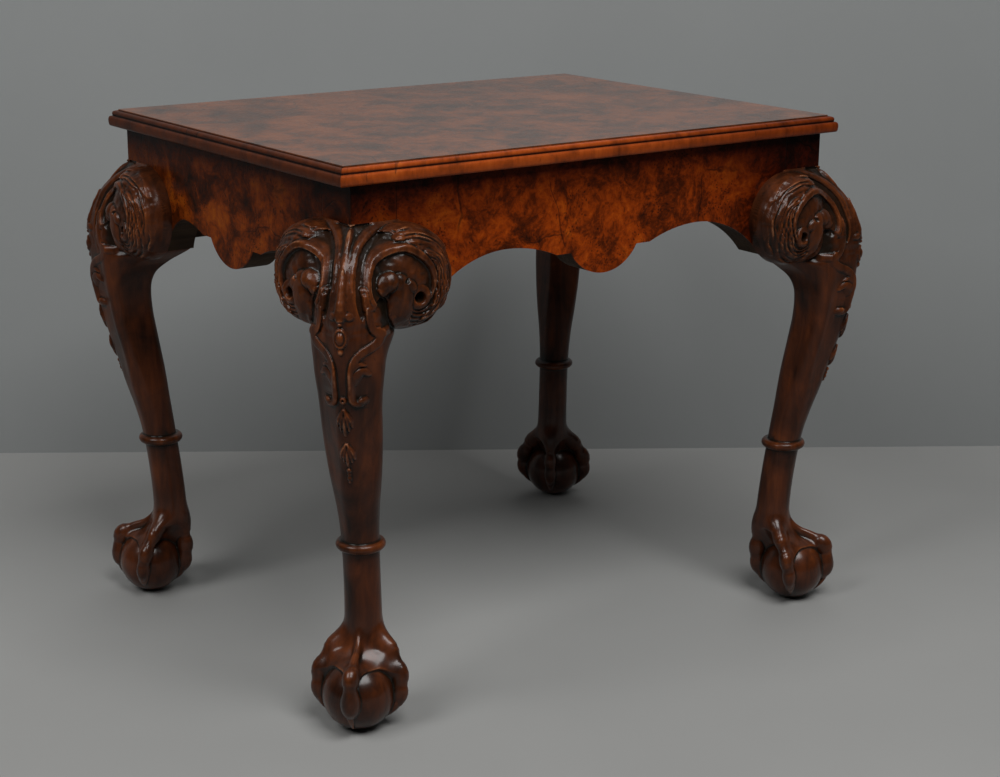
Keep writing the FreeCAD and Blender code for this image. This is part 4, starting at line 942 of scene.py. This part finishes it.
def carveLeg():
    # one grid holds the whole front left leg, with the ears of both scrolls
    cell = leg["cell"]
    line = np.arange(leg["gridFrom"], leg["gridTo"] + cell, cell)
    rise = np.arange(-2 * cell + 0.35 * cell, friezeTop / mm + 2 * cell, cell)
    field = np.full((len(line), len(line), len(rise)), 50.0, np.float32)

    def part(low, high, bottom, top):
        i0, i1 = np.searchsorted(line, (low, high))
        k0, k1 = np.searchsorted(rise, (bottom, top))
        span = slice(i0, i1), slice(i0, i1), slice(k0, k1)
        p, q, z = line[i0:i1, None, None], line[None, i0:i1, None], rise[None, None, k0:k1]
        return span, p.astype(np.float32), q.astype(np.float32), z.astype(np.float32)

    # foot
    span, p, q, z = part(*leg["footBox"])
    field[span] = np.minimum(field[span], footShape(p, q, z, billetShape(p, q, z)))
    # leg, knee and scrolls
    span, p, q, z = part(*leg["legBox"])
    body = blend(billetShape(p, q, z), collar(p, q, z), leg["ringJoin"])
    body = np.maximum(body, z - leg["ledge"])
    first = np.searchsorted(rise, leg["scrollFoot"]) - span[2].start
    body[:, :, first:] = blend(body[:, :, first:], scrollDrum(p, q, z[:, :, first:]), leg["scrollJoin"])
    # the two drawn carvings, laid out over the grid
    order = np.arange(span[0].stop - span[0].start)
    heights = rise[span[2]]
    u = -line[span[0]] - leg["postWidth"]
    v = heights[first:] - leg["scrollMiddle"]
    side = np.zeros((len(order), len(heights)))
    side[:, first:] = scrollCarving(u[:, None] + 0 * v[None], v[None] + 0 * u[:, None])
    s = order * cell / root2
    middle = kneeCarving(s[:, None] + 0 * heights[None], heights[None] + 0 * s[:, None])
    near, far = np.minimum(p, q), np.maximum(p, q)
    onFace = np.maximum(ease(near, *leg["faceNear"]), ease(far, *leg["faceFar"])) * ease(z, *leg["faceUp"])
    onFace = side.astype(np.float32)[np.minimum.outer(order, order)] * onFace
    atEdge = ease(p + q, *leg["edgeOut"]) * ease(near, *leg["edgeNear"])
    atEdge = middle.astype(np.float32)[np.abs(np.subtract.outer(order, order))] * atEdge
    carved = body - onFace - atEdge
    # the ankle passes over into the foot
    last = np.searchsorted(rise, leg["footBox"][3]) - span[2].start
    grown = ease(z[:, :, :last], *leg["footJoin"])
    carved[:, :, :last] = carved[:, :, :last] * grown + field[span][:, :, :last] * (1 - grown)
    low = slice(span[2].start, span[2].start + last)
    field[span[0], span[1], low] = 50
    field[span] = np.minimum(field[span], carved)
    # how far each place is cut in or stands up, for the wax, the painted shade in deep recesses and the wear
    raised = np.zeros(field.shape, np.float32)
    most = np.maximum(onFace, atEdge)
    raised[span] = np.where(most > 0.05, most, np.minimum(onFace, 0))
    # post
    span, p, q, z = part(*leg["postBox"])
    field[span] = np.minimum(field[span], postShape(p, q, z))
    # the ball's flat on the floor and the limits of the billet
    field = np.maximum(field, -rise[None, None, :].astype(np.float32))
    limit = (line - leg["billet"]).astype(np.float32)
    field = np.maximum(field, np.maximum(limit[:, None, None], limit[None, :, None]))
    return field, raised, line, rise, cell


def skinOf(field, line, rise, cell):
    # one vertex in each cell that the surface crosses, and a face over each crossed grid edge
    inside = field < 0
    count = np.zeros(tuple(n - 1 for n in field.shape), np.uint8)
    corners = [(a, b, c) for a in (0, 1) for b in (0, 1) for c in (0, 1)]
    for a, b, c in corners:
        count += inside[a:a + count.shape[0], b:b + count.shape[1], c:c + count.shape[2]]
    i, j, k = np.nonzero((count > 0) & (count < 8))
    total = np.zeros((len(i), 3), np.float32)
    crossings = np.zeros(len(i), np.float32)
    for one in corners:
        for axis in range(3):
            if one[axis]:
                continue
            two = list(one)
            two[axis] = 1
            f0 = field[i + one[0], j + one[1], k + one[2]]
            f1 = field[i + two[0], j + two[1], k + two[2]]
            hit = (f0 < 0) != (f1 < 0)
            share = np.where(hit, f0 / np.where(hit, f0 - f1, 1), 0)
            for n in range(3):
                total[:, n] += np.where(hit, one[n] + (share if n == axis else 0), 0)
            crossings += hit
    places = total / crossings[:, None] + np.stack((i, j, k), 1)
    index = np.full(count.shape, -1, np.int32)
    index[i, j, k] = np.arange(len(i))
    faces = []
    for axis in range(3):
        one = [slice(None)] * 3
        two = [slice(None)] * 3
        one[axis], two[axis] = slice(0, -1), slice(1, None)
        a, b, c = np.nonzero(inside[tuple(one)] != inside[tuple(two)])
        at = [a, b, c]
        goesOut = inside[a, b, c]
        second, third = (axis + 1) % 3, (axis + 2) % 3
        ring = []
        for back2, back3 in ((1, 1), (0, 1), (0, 0), (1, 0)):
            cellAt = [at[0].copy(), at[1].copy(), at[2].copy()]
            cellAt[second] -= back2
            cellAt[third] -= back3
            ring.append(index[cellAt[0], cellAt[1], cellAt[2]])
        quad = np.stack(ring, 1)
        quad[~goesOut] = quad[~goesOut][:, ::-1]
        faces.append(quad)
    faces = np.vstack(faces)
    points = ontoSurface(field, places, faces)
    return points * cell + np.array((line[0], line[0], rise[0])), faces, points


# how the points are evened out: rounds, share of the way to the neighbours' middle, then the longest
# step back to the surface, in cells, and the least slope that it is reckoned with
skin = {"rounds": 2, "eased": 0.4, "longest": 0.4, "flattest": 0.05}


def ontoSurface(field, places, faces):
    # each point eased towards its neighbours, then moved back onto the surface, once more at the end
    eased = skin["eased"]
    for step in range(skin["rounds"] + 1):
        if step < skin["rounds"]:
            total = np.zeros_like(places)
            times = np.zeros(len(places))
            for one, two in ((0, 1), (1, 2), (2, 3), (3, 0)):
                for n in range(3):
                    total[:, n] += np.bincount(faces[:, one], places[faces[:, two], n], len(places))
                    total[:, n] += np.bincount(faces[:, two], places[faces[:, one], n], len(places))
                times += np.bincount(faces[:, one], minlength=len(places))
                times += np.bincount(faces[:, two], minlength=len(places))
            places = places * (1 - eased) + total / times[:, None] * eased
        low = np.clip(np.floor(places).astype(int), 0, np.array(field.shape) - 2)
        a, b, c = (places - low).T
        i, j, k = low.T
        f = [[[field[i + x, j + y, k + w] for w in (0, 1)] for y in (0, 1)] for x in (0, 1)]

        def along(x, y):
            return f[x][y][0] * (1 - c) + f[x][y][1] * c

        f00, f01, f10, f11 = along(0, 0), along(0, 1), along(1, 0), along(1, 1)
        value = (f00 * (1 - b) + f01 * b) * (1 - a) + (f10 * (1 - b) + f11 * b) * a
        slopeA = (f10 * (1 - b) + f11 * b) - (f00 * (1 - b) + f01 * b)
        slopeB = (f01 - f00) * (1 - a) + (f11 - f10) * a
        slopeC = sum((f[x][y][1] - f[x][y][0]) * (a if x else 1 - a) * (b if y else 1 - b)
                     for x in (0, 1) for y in (0, 1))
        slope = np.stack((slopeA, slopeB, slopeC), 1)
        move = value[:, None] * slope / np.maximum((slope ** 2).sum(1), skin["flattest"])[:, None]
        reach = np.maximum(np.linalg.norm(move, axis=1), 1e-9)
        places = places - move * np.minimum(1, skin["longest"] / reach)[:, None]
    return places


def valueAt(grid, places):
    # the grid's value at points between its places
    low = np.clip(np.floor(places).astype(int), 0, np.array(grid.shape) - 2)
    total = np.zeros(len(places))
    for corner in np.ndindex(2, 2, 2):
        share = np.prod(np.where(corner, places - low, 1 - places + low), 1)
        total += grid[tuple((low + corner).T)] * share
    return total


# Wax patina in the hollows, darker still as painted shade in the deepest recesses, and wear on the ridges,
# from how much wood is near, as a share of a small box and of a broad one, and from how far the carving is
# raised: start, reach and share of each.
wear = {
    "fine": 1.7, "broad": 4.0,
    "hollow": (("fine", 0.52, 0.10, 0.95), ("broad", 0.55, 0.16, 0.5), ("raised", 0, -2.4, 0.7),
               # the last one darkens the deepest cuts: painted shade
               ("raised", -3, -3, 0.4)),
    "ridge": (("fine", 0.47, -0.12, 0.85), ("broad", 0.44, -0.18, 0.35), ("raised", 1.6, 2.4, 0.4)),
    "waxed": 0.4,
}


def marks(field, raised, points, cell):
    inside = np.clip(0.5 - field / cell, 0, 1)
    found = {"raised": valueAt(raised, points)}
    for name, fewest in (("fine", 1), ("broad", 2)):
        found[name] = valueAt(soften(inside, max(fewest, round(wear[name] / cell))), points)
    hollow, ridge = (sum(np.clip((found[name] - start) / reach, 0, 1) * share
                         for name, start, reach, share in wear[kind]) for kind in ("hollow", "ridge"))
    return np.clip(hollow, 0, 1), np.clip(ridge - hollow * wear["waxed"], 0, 1)


def meshOf(name, places, faces, values):
    mesh = bpy.data.meshes.new(name)
    mesh.vertices.add(len(places))
    mesh.vertices.foreach_set("co", places.astype(np.float32).ravel())
    mesh.loops.add(faces.size)
    mesh.loops.foreach_set("vertex_index", faces.astype(np.int32).ravel())
    mesh.polygons.add(len(faces))
    width = faces.shape[1]
    mesh.polygons.foreach_set("loop_start", np.arange(0, faces.size, width, dtype=np.int32))
    mesh.update(calc_edges=True)
    for key, value in values.items():
        mesh.attributes.new(key, "FLOAT", "POINT").data.foreach_set("value", value.astype(np.float32))
    return mesh


def cutAt(mesh, planes):
    # keeps the side of each plane that its arrow points away from, and closes the cut
    made = bmesh.new()
    made.from_mesh(mesh)
    for place, arrow in planes:
        cut = bmesh.ops.bisect_plane(made, geom=made.verts[:] + made.edges[:] + made.faces[:], dist=1e-5,
                                     plane_co=place, plane_no=arrow, clear_outer=True)
        rim = [e for e in cut["geom_cut"] if isinstance(e, bmesh.types.BMEdge) and e.is_boundary]
        caps = bmesh.ops.holes_fill(made, edges=rim, sides=0)["faces"]
        for e in rim:
            e.smooth = False
        bmesh.ops.triangulate(made, faces=caps)
    bmesh.ops.delete(made, geom=[v for v in made.verts if not v.link_faces], context="VERTS")
    cutMesh = bpy.data.meshes.new(mesh.name + "_cut")
    made.to_mesh(cutMesh)
    made.free()
    return cutMesh


def thinned(mesh, most):
    mesh.calc_loop_triangles()
    count = len(mesh.loop_triangles)
    if count <= most:
        return mesh
    holder = placed("holder", mesh)
    fewer = holder.modifiers.new("fewer", "DECIMATE")
    fewer.ratio = most / count
    bpy.context.view_layer.update()
    graph = bpy.context.evaluated_depsgraph_get()
    made = bpy.data.meshes.new_from_object(holder.evaluated_get(graph), depsgraph=graph)
    bpy.data.objects.remove(holder)
    return made


def standing(name, mesh, signX, signY, swap, node):
    # a leg or an ear set at one corner of the frieze, from the front left one
    places = np.empty(len(mesh.vertices) * 3, np.float32)
    mesh.vertices.foreach_get("co", places)
    places = places.reshape(-1, 3)
    if swap:
        places = places[:, (1, 0, 2)]
    world = np.stack((signX * (friezeX + places[:, 0] * mm), signY * (friezeY + places[:, 1] * mm),
                      places[:, 2] * mm), 1)
    copy = mesh.copy()
    copy.name = name
    copy.vertices.foreach_set("co", world.astype(np.float32).ravel())
    if (signX * signY < 0) != swap:
        copy.flip_normals()
    copy.update()
    copy.materials.clear()
    copy.materials.append(finishes["carved_walnut"])
    settle(placed(name, copy), node)


def makeLegs():
    field, raised, line, rise, cell = carveLeg()
    places, faces, points = skinOf(field, line, rise, cell)
    hollow, ridge = marks(field, raised, points, cell)
    print("leg carved:", len(places), "points")
    whole = meshOf("leg_whole", places, faces, {"hollow": hollow, "ridge": ridge})
    whole.shade_smooth()
    post = -leg["postWidth"]
    legMesh = cutAt(whole, (((post, 0, 0), (-1, 0, 0)), ((0, post, 0), (0, -1, 0))))
    earMesh = cutAt(whole, (((post, 0, 0), (1, 0, 0)), ((0, 0, 0), (0, -1, 0))))
    legMesh = thinned(legMesh, leg["mostFaces"])
    for mesh in (legMesh, earMesh):
        mesh.calc_loop_triangles()
        print(mesh.name, len(mesh.loop_triangles), "triangles")
    for end, signY in (("front", -1), ("back", 1)):
        for side, signX in (("left", -1), ("right", 1)):
            standing(f"carved_leg_{end}_{side}", legMesh, signX, signY, False, f"leg_{end}_{side}")
            standing(f"scroll_ear_{end}_rail_{side}", earMesh, signX, signY, False, f"ear_{end}_rail_{side}")
            standing(f"scroll_ear_{side}_rail_{end}", earMesh, signX, signY, True, f"ear_{side}_rail_{end}")


makeLegs()
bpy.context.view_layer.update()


# room, light and camera
room = {
    "floor": (0.235, 0.235, 0.228), "wall": (0.208, 0.216, 0.214),
    "world": (0.24, 0.245, 0.25), "dim": (0.02, 0.02, 0.021),
    "floorHalf": 8, "wallHalf": 6, "wallHeight": 4, "wallTurn": -33.73, "wallAway": 0.52,
    "mottle": (1.6, 4, 0.6), "mottled": (0.97, 1.03), "rough": 0.7,
}
# place, size and power of each soft box; all aim at the middle of the table
lamps = {
    "key": ((-0.25, -1.65, 2.65), (1.7, 1.3), 78),
    "fill": ((-2.15, -0.25, 2.3), (1.3, 1.3), 42),
    "behind": ((1.6, 1.4, 2.2), (1.4, 1.4), 4),
}
lampAim = Vector((0, 0, 0.35))
view = {
    "place": (-1.17086, -1.63387, 0.80648), "yaw": 36.50, "pitch": 15.85, "roll": 0.43,
    "focal": 1921.58, "across": 1000.0, "sensor": 36.0,
}


def flatFinish(name, colour):
    f = Finish(name)
    mottle = f.sway(f.noise(f.place(), *room["mottle"]), *room["mottled"])
    paint = f.add("ShaderNodeBsdfPrincipled", None,
                  {"Base Color": f.mix(1.0, colour, mottle, "MULTIPLY"), "Roughness": room["rough"]})
    # clear from behind, so that the table shows in the views from below and from the back
    clear = f.add("ShaderNodeBsdfTransparent")
    behind = f.add("ShaderNodeNewGeometry", output="Backfacing")
    sheet = f.add("ShaderNodeMixShader", None, {0: behind, 1: paint, 2: clear})
    f.add("ShaderNodeOutputMaterial", None, {"Surface": sheet})
    return f.material


def stagePlane(name, corners, finish):
    mesh = bpy.data.meshes.new(name)
    mesh.from_pydata(corners, [], [(0, 1, 2, 3)])
    mesh.materials.append(finish)
    sheet = placed(name, mesh)
    return sheet


def makeRoom():
    half = room["floorHalf"]
    stagePlane("floor", [(-half, -half, 0), (half, -half, 0), (half, half, 0), (-half, half, 0)],
               flatFinish("pale_floor", room["floor"]))
    turn = math.radians(room["wallTurn"])
    along = Vector((math.cos(turn), math.sin(turn), 0)) * room["wallHalf"]
    away = Vector((-math.sin(turn), math.cos(turn), 0)) * room["wallAway"]
    up = Vector((0, 0, room["wallHeight"]))
    wall = stagePlane("backdrop", [away - along, away + along, away + along + up, away - along + up],
                      flatFinish("backdrop_paint", room["wall"]))
    wall.visible_shadow = False
    world = bpy.data.worlds.new("studio")
    bpy.context.scene.world = world
    world.use_nodes = True
    tree = world.node_tree
    seen = tree.nodes.new("ShaderNodeLightPath")
    shade = tree.nodes.new("ShaderNodeMix")
    shade.data_type = "RGBA"
    shade.inputs[6].default_value = (*room["dim"], 1)
    shade.inputs[7].default_value = (*room["world"], 1)
    tree.links.new(seen.outputs["Is Camera Ray"], shade.inputs[0])
    tree.links.new(shade.outputs[2], tree.nodes["Background"].inputs[0])


def softBox(name, place, size, power):
    lamp = bpy.data.lights.new(name, "AREA")
    lamp.shape = "RECTANGLE"
    lamp.size, lamp.size_y = size
    lamp.energy = power
    thing = placed(name, lamp)
    thing.location = place
    thing.rotation_euler = (lampAim - Vector(place)).to_track_quat("-Z", "Y").to_euler()


def makeCamera():
    yaw, pitch, roll = (math.radians(view[key]) for key in ("yaw", "pitch", "roll"))
    ahead = Vector((math.cos(pitch) * math.sin(yaw), math.cos(pitch) * math.cos(yaw), -math.sin(pitch)))
    right = ahead.cross(Vector((0, 0, 1))).normalized()
    up = right.cross(ahead)
    right, up = right * math.cos(roll) + up * math.sin(roll), up * math.cos(roll) - right * math.sin(roll)
    data = bpy.data.cameras.new("camera")
    data.sensor_width = view["sensor"]
    data.lens = view["focal"] * view["sensor"] / view["across"]
    camera = placed("camera", data)
    facing = Matrix((right, up, -ahead)).transposed().to_4x4()
    camera.matrix_world = Matrix.Translation(view["place"]) @ facing
    bpy.context.scene.camera = camera


makeRoom()
for name, settings in lamps.items():
    softBox(name, *settings)
makeCamera()
bpy.context.scene.view_settings.view_transform = "Standard"
print("room, light and camera ready")
